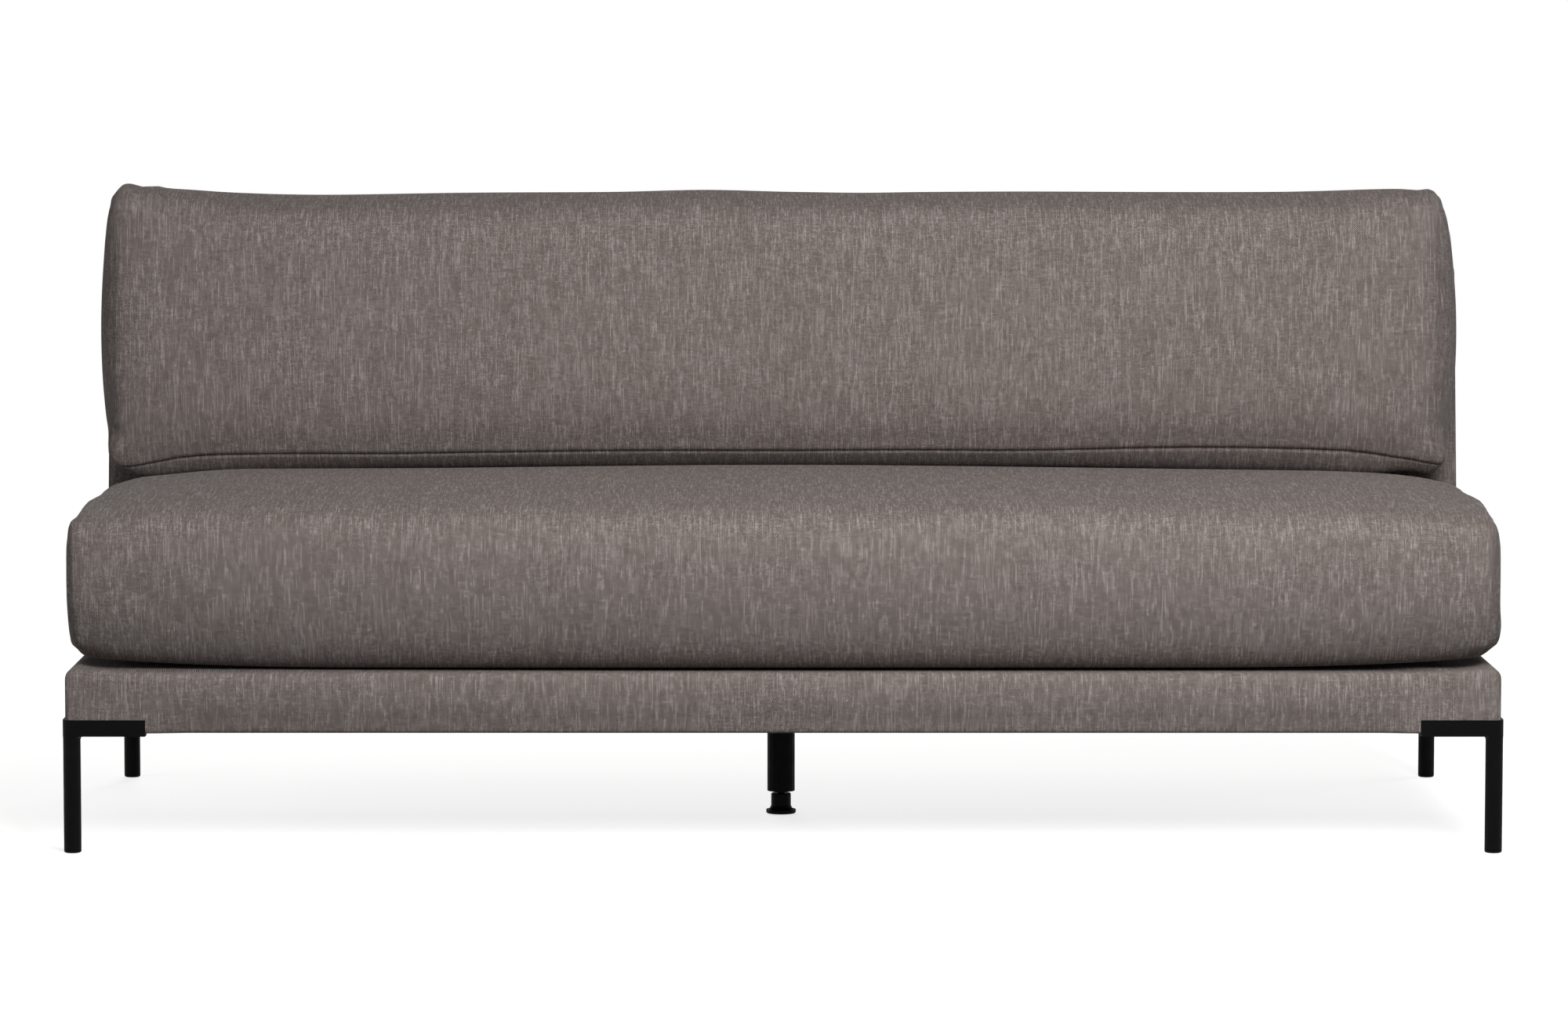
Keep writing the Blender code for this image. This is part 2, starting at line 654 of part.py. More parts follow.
def build_legs(root):
    """Four corner legs with their glides and bolts."""
    legs = assembly("legs", root)
    radius = TUBE / 2
    pattern = leg_body()
    bore = radius - TUBE_WALL - FIT
    top = GLIDE_FLANGE + GLIDE_PLUG
    edge = arc((radius - GLIDE_EDGE, GLIDE_EDGE), GLIDE_EDGE, -90, 0, EDGE_STEPS)
    plug = [(radius, GLIDE_FLANGE), (bore, GLIDE_FLANGE), (bore, top), (0, top)]
    glide_profile = [(0, 0)] + edge + plug
    for name, sign_x, sign_y, turn in corner_turns():
        axis = (sign_x * (WIDTH / 2 - LEG_CORNER), sign_y * (DEPTH / 2 - LEG_CORNER), 0)
        leg = bpy.data.objects.new("leg_" + name, pattern.data)
        bpy.context.scene.collection.objects.link(leg)
        leg["smooth"] = True
        place(leg, legs, axis, (0, 0, turn))
        bm = bmesh.new()
        add_turned(bm, glide_profile, ROUND)
        place(solid("leg_glide_" + name, bm, "black_nylon"), legs, axis)
        bm = bmesh.new()
        add_bolt(bm, (0, 0), BRACKET_BOTTOM, LEG_HEIGHT + LEG_BOLT_DEPTH)
        bolt_x = sign_x * (WIDTH / 2 - leg_bolt_offset())
        bolt_y = sign_y * (DEPTH / 2 - leg_bolt_offset())
        place(solid("leg_bolt_" + name, bm, "zinc_steel"), legs, (bolt_x, bolt_y, 0))
    bpy.data.objects.remove(pattern)


def build_center_leg(root):
    """Centre leg: capped tube with a stud, threaded insert, and a foot that screws up and down."""
    center = assembly("center_leg_assembly", root)
    cap_top = RAIL_BOTTOM - FIT
    radius = CENTER_TUBE / 2
    bore = radius - CENTER_TUBE_WALL
    stud = CENTER_STUD / 2
    bm = bmesh.new()
    add_turned(bm, [(0, cap_top - CENTER_CAP), (bore, cap_top - CENTER_CAP), (bore, CENTER_TUBE_END),
                    (radius, CENTER_TUBE_END), (radius, cap_top), (stud, cap_top),
                    (stud, cap_top + CENTER_STUD_LENGTH), (0, cap_top + CENTER_STUD_LENGTH)], ROUND)
    place(solid("center_leg", bm, "black_powder_coat"), center)

    stem = STEM / 2
    plug = bore - FIT
    thread = stem + FIT
    seat = CENTER_TUBE_END - FIT
    bottom = seat - INSERT_FLANGE
    top = seat + INSERT_PLUG
    bm = bmesh.new()
    add_turned(bm, [(thread, bottom), (radius, bottom), (radius, seat), (plug, seat), (plug, top),
                    (thread, top)], ROUND, closed=True)
    place(solid("center_leg_insert", bm, "black_nylon"), center)

    collar = COLLAR / 2
    tip = PAD_SOCKET_FLOOR + FIT
    bm = bmesh.new()
    add_turned(bm, [(0, tip), (stem, tip), (stem, COLLAR_BOTTOM), (collar, COLLAR_BOTTOM),
                    (collar, COLLAR_TOP - COLLAR_CHAMFER), (collar - COLLAR_CHAMFER, COLLAR_TOP),
                    (stem, COLLAR_TOP), (stem, STEM_TOP - stem / 2), (stem / 2, STEM_TOP),
                    (0, STEM_TOP)], ROUND)
    place(solid("center_foot_screw", bm, "black_nylon"), center)

    pad = PAD / 2
    neck = PAD_NECK / 2
    socket = stem + FIT
    quarter = [math.pi / 2 * i / EDGE_STEPS for i in range(EDGE_STEPS + 1)]
    flare = [(neck + (pad - neck) * (1 - math.sin(t)),
              PAD_RIM + (PAD_HEIGHT - PAD_RIM) * (1 - math.cos(t))) for t in quarter]
    bm = bmesh.new()
    add_turned(bm, [(0, 0), (pad - COLLAR_CHAMFER, 0), (pad, COLLAR_CHAMFER)] + flare
               + [(socket, PAD_HEIGHT), (socket, PAD_SOCKET_FLOOR), (0, PAD_SOCKET_FLOOR)], ROUND)
    place(solid("center_foot_pad", bm, "black_nylon"), center)


def bolt_places():
    """Places along X of the bolts that hold the back to the base."""
    pitch = 2 * INNER_X / BACK_BOLTS
    return [-INNER_X + pitch * (i + 0.5) for i in range(BACK_BOLTS)]


def build_back(root):
    """Back frame: boards and posts, webbing, padding, cover and the bolts to the base."""
    back = assembly("back", root, (0, 0, BASE_TOP))
    holes = [(x, BOLT_Y, BOLT / 2 + FIT) for x in bolt_places()]
    foot = back_front(FRAME_BOTTOM + BOARD) + BACK_INSET
    board("back_bottom_board", (-FRAME_X, foot, FRAME_BOTTOM),
          (FRAME_X, FRAME_REAR, FRAME_BOTTOM + BOARD), "plywood", back, holes)
    board("back_top_rail", (-FRAME_X, back_front(FRAME_TOP) + BACK_INSET, FRAME_TOP - BOARD),
          (FRAME_X, FRAME_REAR, FRAME_TOP), "plywood", back)
    board("back_rear_panel", (-FRAME_X, FRAME_REAR + FIT, FRAME_BOTTOM),
          (FRAME_X, FRAME_REAR + FIT + REAR_PANEL, FRAME_TOP), "fibreboard", back)

    profile = [(back_front(POST_BOTTOM) + POST_INSET, POST_BOTTOM), (FRAME_REAR, POST_BOTTOM),
               (FRAME_REAR, POST_TOP), (back_front(POST_TOP) + POST_INSET, POST_TOP)]
    end_post = FRAME_X - BOARD / 2
    for name, x in (("back_left_post", -end_post), ("back_left_inner_post", -INNER_POST_OFFSET),
                    ("back_right_inner_post", INNER_POST_OFFSET), ("back_right_post", end_post)):
        bm = bmesh.new()
        add_bar(bm, profile, BOARD / 2)
        place(solid(name, bm, "plywood", smooth=False), back, (x, 0, 0))

    back_webbing(back)
    layer = COVER + FIT
    bm = bmesh.new()
    add_tray(bm, BACK_X - layer, lambda z: back_front(z) + layer, BASE_Y - layer, FRAME_BOTTOM,
             BACK_TOP - layer, BACK_PADDING, BACK_CORNER - layer, BACK_EDGE - layer, (SHARP, SHARP))
    place(solid("back_padding", bm, "wadding"), back)
    bm = bmesh.new()
    add_tray(bm, BACK_X, back_front, BASE_Y, BASE_TOP + FIT, BACK_TOP, COVER, BACK_CORNER, BACK_EDGE,
             (BACK_CORNER - COVER, BACK_EDGE - COVER), COVER_TURN_UNDER)
    place(solid("back_cover", bm, "upholstery_weave"), back)
    back_fasteners(back)


def back_webbing(back):
    """Level straps across the fronts of the posts, leant with them."""
    pitch = (POST_TOP - POST_BOTTOM) / BACK_STRAPS
    stand_off = (STRAP / 2 + FIT) / math.cos(BACK_RAKE)
    for i in range(BACK_STRAPS):
        z = POST_BOTTOM + pitch * (i + 0.5)
        bm = bmesh.new()
        add_box(bm, (-FRAME_X, -STRAP / 2, -STRAP_WIDTH / 2), (FRAME_X, STRAP / 2, STRAP_WIDTH / 2))
        place(solid("back_strap_%d" % (i + 1), bm, "webbing", smooth=False), back,
              (0, back_front(z) + POST_INSET - stand_off, z), (-BACK_RAKE, 0, 0))


def back_fasteners(back):
    """Bolts up through the base into the back's bottom board."""
    for i, x in enumerate(bolt_places()):
        bm = bmesh.new()
        add_bolt(bm, (0, 0), RAIL_TOP - BOARD, FRAME_BOTTOM + BOARD)
        place(solid("back_bolt_%d" % (i + 1), bm, "zinc_steel"), back, (x, BOLT_Y, 0))


def build_zip(prefix, parent, cover, half_length, location, lean):
    """A zip along the back of a cover: its opening, the closed chain on its tape, and the slider.

    The zip runs along X at location, on the cover's outside, and faces +Y leant by an angle.
    """
    opening = ZIP_OPENING / 2
    reach = CUSHION_BOTTOM_EDGE
    bm = bmesh.new()
    add_bar(bm, [(-reach, -opening), (reach, -opening), (reach, opening), (-reach, opening)],
            half_length)
    slot = solid("slot", bm, "zip_tape")
    slot.location = location
    slot.rotation_euler = (lean, 0, 0)
    bpy.context.view_layer.update()
    combine(cover, "DIFFERENCE", slot)

    tape = opening - FIT
    chain = ZIP_CHAIN / 2
    bm = bmesh.new()
    add_bar(bm, [(-COVER, -tape), (0, -tape), (0, -chain), (ZIP_CHAIN_RISE, -chain),
                 (ZIP_CHAIN_RISE, chain), (0, chain), (0, tape), (-COVER, tape)], half_length - FIT)
    place(solid(prefix + "_zip", bm, "zip_tape", smooth=False), parent, location, (lean, 0, 0))

    body = SLIDER_HEIGHT / 2
    channel = chain + FIT
    floor = ZIP_CHAIN_RISE + FIT
    bm = bmesh.new()
    add_bar(bm, [(FIT, -body), (floor + SLIDER_WALL, -body), (floor + SLIDER_WALL, body), (FIT, body),
                 (FIT, channel), (floor, channel), (floor, -channel), (FIT, -channel)],
            SLIDER_LENGTH / 2)
    at_end = Vector(location) + Vector((half_length - SLIDER_LENGTH, 0, 0))
    place(solid(prefix + "_zip_slider", bm, "zinc_steel", smooth=False), parent, at_end, (lean, 0, 0))


def hollow(obj, thickness):
    """Turns a closed surface into a shell with that wall, inward."""
    modifier = obj.modifiers.new("wall", "SOLIDIFY")
    modifier.thickness = thickness
    modifier.offset = -1
    modifier.use_even_offset = True
    graph = bpy.context.evaluated_depsgraph_get()
    mesh = bpy.data.meshes.new_from_object(obj.evaluated_get(graph))
    obj.modifiers.clear()
    obj.data = mesh


def build_cushion(prefix, root, shape, filling, zip_location, zip_lean):
    """A loose cushion: a sewn cover with a zip, and its filling."""
    half, top_edge, bottom_edge, cells, form = shape
    parent = assembly(prefix, root)
    cover = solid(prefix + "_cover", cushion_bmesh(half, top_edge, bottom_edge, cells, 0, form),
                  "upholstery_weave")
    hollow(cover, COVER)
    build_zip(prefix, parent, cover, half.x - ZIP_END_MARGIN, zip_location, zip_lean)
    place(cover, parent)
    core = cushion_bmesh(half, top_edge, bottom_edge, cells, COVER + FILL_CLEARANCE, form)
    place(solid(prefix + filling[0], core, filling[1]), parent)


def build_cushions(root):
    """The seat cushion on the base and the back cushion against the back frame."""
    seat_zip = (0, SEAT_CENTER.y + SEAT_HALF.y, SEAT_CENTER.z)
    build_cushion("seat_cushion", root,
                  (SEAT_HALF, SEAT_TOP_EDGE, SEAT_BOTTOM_EDGE, SEAT_CELLS, seat_form),
                  ("_core", "foam"), seat_zip, 0.0)

    zip_z = cushion_bottom() + CUSHION_ZIP_HEIGHT
    step = ZIP_OPENING / 2
    tuck_drop = cushion_tuck(CUSHION_ZIP_HEIGHT - step) - cushion_tuck(CUSHION_ZIP_HEIGHT + step)
    lean = -math.atan(math.tan(BACK_RAKE) + tuck_drop / (2 * step))
    zip_y = back_front(zip_z) - FIT - cushion_tuck(CUSHION_ZIP_HEIGHT)
    build_cushion("back_cushion", root,
                  (CUSHION_HALF, CUSHION_TOP_EDGE, CUSHION_BOTTOM_EDGE, CUSHION_CELLS, cushion_form),
                  ("_fill", "wadding"), (0, zip_y, zip_z), lean)


def build_sofa():
    clear_scene()
    root = assembly("dining_sofa_module")
    build_base(root)
    build_legs(root)
    build_center_leg(root)
    build_back(root)
    build_cushions(root)


build_sofa()
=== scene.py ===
"""Looks of the dining sofa module: upholstery, cloth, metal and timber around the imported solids.

Metres, +Z up, X along the width and the front at -Y, as in the solids.
"""

import json
import math

import bpy
import numpy as np
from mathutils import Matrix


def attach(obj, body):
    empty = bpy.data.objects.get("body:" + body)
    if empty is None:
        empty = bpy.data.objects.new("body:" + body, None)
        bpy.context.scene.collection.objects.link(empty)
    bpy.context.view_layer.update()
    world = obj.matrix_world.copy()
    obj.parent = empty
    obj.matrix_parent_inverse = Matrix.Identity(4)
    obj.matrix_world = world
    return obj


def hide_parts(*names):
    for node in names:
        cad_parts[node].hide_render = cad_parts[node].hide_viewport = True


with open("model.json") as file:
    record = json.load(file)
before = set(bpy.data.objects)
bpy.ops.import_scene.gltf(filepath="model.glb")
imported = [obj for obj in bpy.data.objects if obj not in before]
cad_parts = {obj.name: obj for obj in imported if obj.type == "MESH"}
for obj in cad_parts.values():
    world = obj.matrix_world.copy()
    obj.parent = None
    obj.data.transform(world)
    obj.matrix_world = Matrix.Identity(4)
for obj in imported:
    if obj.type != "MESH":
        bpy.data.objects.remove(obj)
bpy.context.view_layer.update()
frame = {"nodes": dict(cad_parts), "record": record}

# Camera, as the photograph was taken
PHOTO_WIDTH = 2000
FOCAL_PX = 7640.0
AXIS_PX = 945.0  # column of the optical axis
SENSOR = 36.0
CAMERA_PLACE = (-0.0527, -7.802, 1.0584)
CAMERA_PITCH = math.radians(4.8406)

# Light and stage
LAMPS = (  # name, place, aim, size of its square and power
    ("softbox", (0.72, -2.70, 2.00), (0.05, 0.0, 0.42), 1.5, 100.0),
    ("left_fill", (-2.70, -0.65, 0.85), (-0.60, 0.0, 0.45), 1.0, 6.0),
    ("right_fill", (2.60, 1.30, 0.75), (0.60, 0.0, 0.45), 1.0, 8.0),
    ("rear_fill", (-0.60, 3.00, 0.72), (0.0, 0.38, 0.45), 1.4, 48.0),
)
WHITE = (1, 1, 1, 1)
AMBIENT = 0.09
FLOOR_SIZE = 30.0
FLOOR_NEAR = 1.3  # radius where the floor starts to fade into the white background
FLOOR_FAR = 2.6
FLOOR_GLOW = 0.78
FLOOR_COLOUR, BOUNCE_COLOUR = "D9D9D8", "656B6D"  # seen, and as it lights the sofa from below

# Weave
WARP, WEFT = 0.00144, 0.00124  # pitch of the yarns; the real weft, about 1 mm, is too fine to show
WARP_RUN, WEFT_RUN = 0.036, 0.018  # length over which a yarn's shade changes
YARN_STEP = 7.31  # noise cells from one yarn to the next, so that neighbours differ
SHADES = (0.40, 0.80)  # share of a yarn's noise where it turns from ground to pale
SWAY, SWAY_REACH = (0.020, 0.090), 0.0008  # wander of the warp
BAND = (0.009, 0.095)  # width and length of broad streaks
GROUND, CROSSING_GAIN, RIB_GAIN, FLOAT_GAIN = 0.235, 0.33, 0.03, 0.21
WARP_GAIN, WEFT_GAIN, BAND_GAIN = 0.41, 0.23, 0.09
YARN_COLOURS = ("443B38", "746A66", "ADA6A2")
FINE_BUMP = 0.0003  # relief of the weave, of tapes and of timber

# Cloth
SEAM_GROOVE = 0.0020
SEAM_WIDTH = 0.0035
PUCKER_PITCH = 0.034
PUCKER_DEPTH = 0.0014
PUCKER_PLACE, PUCKER_WIDTH = 0.009, 0.008  # distance from the seam, and reach
SIM_FRAMES = 12
SIM_MOST = 0.006  # farthest that a point moves
SIM_SETTINGS = {
    "quality": 4, "mass": 0.4, "tension_stiffness": 20, "compression_stiffness": 20, "shear_stiffness": 8,
    "bending_stiffness": 1.5, "use_pressure": True, "uniform_pressure_force": 0.25}
TIGHT_GAIN, TIGHT_REACH = 6, 0.006  # closer steps of a section next to a sewn knot
PANEL_GAP = 0.01  # what the middle of an end panel adds to its last ring's gap from the seam
HELD_GAP = 0.004  # points this near an end seam stay in place
HELD_TURN = 0.9  # so do those that face the rear or the floor by this much


def linear(hex_colour):
    """The linear RGBA of an sRGB hex colour."""
    channels = [int(hex_colour[i:i + 2], 16) / 255 for i in (0, 2, 4)]
    return [c / 12.92 if c <= 0.04045 else ((c + 0.055) / 1.055) ** 2.4 for c in channels] + [1.0]


def smooth(low, high, value):
    """A smooth step: 0 below low, 1 above high, with the cubic 3t^2 - 2t^3 between them."""
    t = np.clip((value - low) / (high - low), 0, 1)
    return t * t * (3 - 2 * t)


def bell(distance, width):
    """A bell curve of height 1: exp of minus the squared distance in widths."""
    return np.exp(-(distance / width) ** 2)


def drawn(x, table):
    """A smooth line through a table of (x, height): a cubic between two points, sloped by their neighbours."""
    at, height = np.array(table).T
    slope = np.gradient(height, at)
    k = np.clip(np.searchsorted(at, x) - 1, 0, len(at) - 2)
    step = at[k + 1] - at[k]
    t = np.clip((x - at[k]) / step, 0, 1)
    return (height[k] * (1 + 2 * t) * (1 - t) ** 2 + height[k + 1] * t ** 2 * (3 - 2 * t)
            + step * t * (1 - t) * (slope[k] * (1 - t) - slope[k + 1] * t))


def ripple(along, pitch, phase):
    """A wandering wave between -1 and 1: three sines whose pitches stand 1 : 0.62 : 1.7."""
    waves = (np.sin(2 * np.pi * along / (pitch * k) + phase * (i + 1)) for i, k in enumerate((1, 0.62, 1.7)))
    return sum(waves) / 3


# Materials


def set_inputs(tree, node, **inputs):
    """Fills a node's inputs: one given as a socket is linked, and a value is set.

    Names of inputs are the sockets' names with spaces as underscores, or a letter and a number for
    the socket at that place.
    """
    for name, value in inputs.items():
        socket = node.inputs[int(name[1:]) if name[1:].isdigit() else name.replace("_", " ")]
        if isinstance(value, bpy.types.NodeSocket):
            tree.links.new(value, socket)
        else:
            socket.default_value = value


def add_node(tree, kind, settings=None, **inputs):
    """One node with its settings and its inputs."""
    node = tree.nodes.new("ShaderNode" + kind)
    for name, value in (settings or {}).items():
        setattr(node, name, value)
    set_inputs(tree, node, **inputs)
    return node


def seen_rays(tree):
    """1 for rays of the camera, of gloss and of transmission, which see plain white, and 0 for others."""
    path = add_node(tree, "LightPath")
    seen = path.outputs["Is Camera Ray"]
    for ray in ("Is Glossy Ray", "Is Transmission Ray"):
        seen = add_node(tree, "Math", {"operation": "ADD", "use_clamp": True}, i0=seen,
                        i1=path.outputs[ray]).outputs[0]
    return seen


def new_material(name):
    """An empty material with its node tree and its shader."""
    made = bpy.data.materials.new(name)
    made.use_nodes = True
    tree = made.node_tree
    return made, tree, tree.nodes["Principled BSDF"]


def shade(tree, shader, colours, share, strength, distance, height):
    """Two colours mixed by share, and a relief from height, put on the shader."""
    colour = add_node(tree, "MixRGB", None, Fac=share, Color1=linear(colours[0]), Color2=linear(colours[1]))
    bump = add_node(tree, "Bump", None, Strength=strength, Distance=distance, Height=height)
    set_inputs(tree, shader, Base_Color=colour.outputs[0], Normal=bump.outputs[0])


def woven_upholstery():
    """Plain weave of melange yarn, taupe-grey, matt, with paler stretches along each yarn.

    The eye sees fine upright hairlines of paler, greyer yarn over a warm brown-grey ground, weak level
    ones, and the grid of yarn crossings. Each yarn has its own run of noise along its length. One tone
    value sums the warp's and the weft's runs, the chance shade of single floats, broad streaks, ribs of
    yarn pairs, sin(pi u / warp), and the crossings, sin(pi u / warp) sin(pi v / weft), and a ramp of yarn
    colours turns it into colour. The UV map is in metres, V along the warp.
    """
    made, tree, shader = new_material("woven_upholstery")
    uv = add_node(tree, "UVMap", {"uv_map": "weave"}).outputs["UV"]

    def worked(operation, *values):
        inputs = {f"i{i}": value for i, value in enumerate(values)}
        return add_node(tree, "Math", {"operation": operation}, **inputs).outputs[0]

    def noise(place, detail, roughness):
        return add_node(tree, "TexNoise", {"noise_dimensions": "2D"}, Vector=place, Scale=1.0, Detail=detail,
                        Roughness=roughness).outputs[0]

    def scaled(width, length):
        return add_node(tree, "Mapping", None, Vector=uv, Scale=(1 / width, 1 / length, 1)).outputs[0]

    across, along = add_node(tree, "SeparateXYZ", None, Vector=uv).outputs[:2]
    swayed = worked("MULTIPLY_ADD", noise(scaled(*SWAY), 1.0, 0.5), SWAY_REACH, across)
    places = [worked("MULTIPLY", swayed, 1 / WARP), worked("MULTIPLY", along, 1 / WEFT)]
    yarns = [worked("FLOOR", place) for place in places]
    runs = []
    for yarn, run, length in ((yarns[0], along, WARP_RUN), (yarns[1], across, WEFT_RUN)):
        spot = add_node(tree, "CombineXYZ", None, X=worked("MULTIPLY", yarn, YARN_STEP),
                        Y=worked("MULTIPLY", run, 1 / length)).outputs[0]
        runs.append(add_node(tree, "MapRange", {"interpolation_type": "SMOOTHSTEP"}, From_Min=SHADES[0],
                             From_Max=SHADES[1], Value=noise(spot, 3.0, 0.75)).outputs[0])
    cell = add_node(tree, "CombineXYZ", None, X=yarns[0], Y=yarns[1]).outputs[0]
    floats = add_node(tree, "TexWhiteNoise", {"noise_dimensions": "2D"}, Vector=cell).outputs["Value"]
    waves = [worked("SINE", worked("MULTIPLY", place, math.pi)) for place in places]
    tone = worked("MULTIPLY_ADD", worked("MULTIPLY", *waves), CROSSING_GAIN, GROUND)
    streaks = noise(scaled(*BAND), 2.0, 0.6)
    for value, gain in ((waves[0], RIB_GAIN), (floats, FLOAT_GAIN), (runs[0], WARP_GAIN),
                        (runs[1], WEFT_GAIN), (streaks, BAND_GAIN)):
        tone = worked("MULTIPLY_ADD", value, gain, tone)
    ramp = add_node(tree, "ValToRGB", None, Fac=tone)
    ramp.color_ramp.elements[0].color = linear(YARN_COLOURS[0])
    ramp.color_ramp.elements[1].color = linear(YARN_COLOURS[2])
    ramp.color_ramp.elements.new(0.5).color = linear(YARN_COLOURS[1])
    bump = add_node(tree, "Bump", None, Strength=0.30, Distance=FINE_BUMP, Height=tone)
    set_inputs(tree, shader, Base_Color=ramp.outputs[0], Normal=bump.outputs[0], Roughness=0.95,
               Specular_IOR_Level=0.12, Sheen_Weight=0.06, Sheen_Roughness=0.45,
               Sheen_Tint=linear("D8D8DA"))
    return made


def grained(name, colours, grain, roughness, bump_height, specular=0.5, metallic=0.0):
    """A fine-grained finish: two near colours mixed by noise of that grain size, which also raises it.

    A noise eight times as broad makes it rougher and smoother in places.
    """
    made, tree, shader = new_material(name)
    place = add_node(tree, "TexCoord").outputs["Object"]
    noise = add_node(tree, "TexNoise", None, Vector=place, Scale=1 / grain, Detail=3.0,
                     Roughness=0.6).outputs[0]
    broad = add_node(tree, "TexNoise", None, Vector=place, Scale=0.12 / grain, Detail=2.0).outputs[0]
    rough = add_node(tree, "MapRange", None, Value=broad, From_Min=0.3, From_Max=0.7,
                     To_Min=roughness - 0.06, To_Max=roughness + 0.06)
    shade(tree, shader, colours, noise, 0.5, bump_height, noise)
    set_inputs(tree, shader, Roughness=rough.outputs[0], Specular_IOR_Level=specular, Metallic=metallic)
    return made


def timber(name, colours, ring, fibre, roughness):
    """Sawn timber: year rings as a warped wave across the grain, and short dark fibres along X."""
    made, tree, shader = new_material(name)
    place = add_node(tree, "TexCoord").outputs["Object"]
    stretched = add_node(tree, "Mapping", None, Vector=place, Scale=(0.06, 1, 1)).outputs[0]
    rings = add_node(tree, "TexWave", {"bands_direction": "Z"}, Vector=stretched, Scale=0.05 / ring,
                     Distortion=6.0, Detail=2.0, Detail_Scale=1.2).outputs[1]
    fine = add_node(tree, "Mapping", None, Vector=place, Scale=(0.04, 1, 1)).outputs[0]
    fibres = add_node(tree, "TexNoise", None, Vector=fine, Scale=1 / fibre, Detail=3.0).outputs[0]
    mixed = add_node(tree, "Math", {"operation": "MULTIPLY"}, i0=rings, i1=fibres).outputs[0]
    shade(tree, shader, colours, mixed, 0.3, FINE_BUMP, fibres)
    set_inputs(tree, shader, Roughness=roughness)
    return made


def narrow_fabric(name, colours, pitch):
    """Woven tape or webbing: a fine twill of two shades, from two sines across each other."""
    made, tree, shader = new_material(name)
    place = add_node(tree, "TexCoord").outputs["Object"]
    scaled = add_node(tree, "VectorMath", {"operation": "SCALE"}, Vector=place,
                      Scale=2 * math.pi / pitch).outputs[0]
    x, y, z = add_node(tree, "SeparateXYZ", None, Vector=scaled).outputs
    across = add_node(tree, "Math", {"operation": "SINE"}, i0=x).outputs[0]
    depth = add_node(tree, "Math", {"operation": "ADD"}, i0=y, i1=z).outputs[0]
    along = add_node(tree, "Math", {"operation": "SINE"}, i0=depth).outputs[0]
    crossing = add_node(tree, "Math", {"operation": "MULTIPLY_ADD"}, i0=across, i1=along, i2=0.5).outputs[0]
    shade(tree, shader, colours, crossing, 0.4, FINE_BUMP, crossing)
    set_inputs(tree, shader, Roughness=0.9)
    return made


# Upholstered forms


def closed_spline(knots, sides, counts, turn_weight=0.030, tight=()):
    """Matrix that turns the knots of a closed section into its points.

    The curve is the periodic cubic spline over chord length, which solves one linear system for its
    second derivatives. sides are the knots where the four sides start, the first of them knot 0, and
    counts the steps on each side. Points lie evenly in length plus turn_weight times the angle turned,
    and closer near the knots named in tight.
    """
    count = len(knots)
    here = np.arange(count)
    after = (here + 1) % count
    before = here - 1
    chord = np.linalg.norm(knots[after] - knots, axis=1)
    previous = chord[before]
    system = np.zeros((count, count))
    right = np.zeros((count, count))
    system[here, before] = previous
    system[here, here] = 2 * (previous + chord)
    system[here, after] = chord
    right[here, after] = 6 / chord
    right[here, before] = 6 / previous
    right[here, here] = -6 / chord - 6 / previous
    second = np.linalg.solve(system, right)

    steps = 60
    b = np.linspace(0, 1, steps, endpoint=False)[None, :, None]
    a = 1 - b
    unit = np.eye(count)
    bend = (a ** 3 - a) * second[:, None] + (b ** 3 - b) * second[after][:, None]
    dense = a * unit[:, None] + b * unit[after][:, None] + bend * chord[:, None, None] ** 2 / 6
    dense = dense.reshape(count * steps, count)

    curve = dense @ knots
    step = np.roll(curve, -1, axis=0) - curve
    angle = np.unwrap(np.arctan2(step[:, 1], step[:, 0]))
    turn = np.abs(np.diff(angle, append=angle[-1]))
    length = np.linalg.norm(step, axis=1)
    measure = length + turn_weight * turn
    for knot in tight:
        measure += TIGHT_GAIN * length * bell(np.linalg.norm(curve - knots[knot], axis=1), TIGHT_REACH)
    total = np.concatenate([[0], np.cumsum(measure)])
    edges = total[[k * steps for k in sides] + [count * steps]]
    marks = np.concatenate([np.linspace(low, high, n, endpoint=False)
                            for low, high, n in zip(edges, edges[1:], counts)])
    places = np.interp(marks, total, np.arange(count * steps + 1))
    low = np.floor(places).astype(int)
    share = (places - low)[:, None]
    return dense[low % len(dense)] * (1 - share) + dense[(low + 1) % len(dense)] * share


def outward(section):
    """Unit normals of a closed (y, z) section that runs up its front: its tangent turned a quarter."""
    tangent = np.roll(section, -1, axis=0) - np.roll(section, 1, axis=0)
    normal = np.stack([-tangent[:, 1], tangent[:, 0]], axis=1)
    return normal / np.linalg.norm(normal, axis=1, keepdims=True)


def quads(grid):
    """Corners of the quads of a grid of indices or of UV, turning from its rows to its columns."""
    corners = np.stack([grid[:-1, :-1], grid[1:, :-1], grid[1:, 1:], grid[:-1, 1:]], axis=2)
    return corners.reshape(-1, *corners.shape[2:])


def girth_of(ring):
    """Lengths along a closed ring of points, from 0 at its first point to its whole girth."""
    return np.concatenate([[0], np.cumsum(np.linalg.norm(np.roll(ring, -1, axis=0) - ring, axis=1))])


def with_first(array):
    """The array with its first column again at its end, which closes a ring."""
    return np.concatenate([array, array[:, :1]], axis=1)


def sides_of(edge, counts):
    """The four sides of a closed edge: low and high run to the front, rear and front run up."""
    along, up = counts
    low = edge[:along + 1]
    front = edge[along:along + up + 1]
    high = edge[along + up:2 * along + up + 1][::-1]
    rear = np.concatenate([edge[2 * along + up:], edge[:1]])[::-1]
    return low, front, high, rear


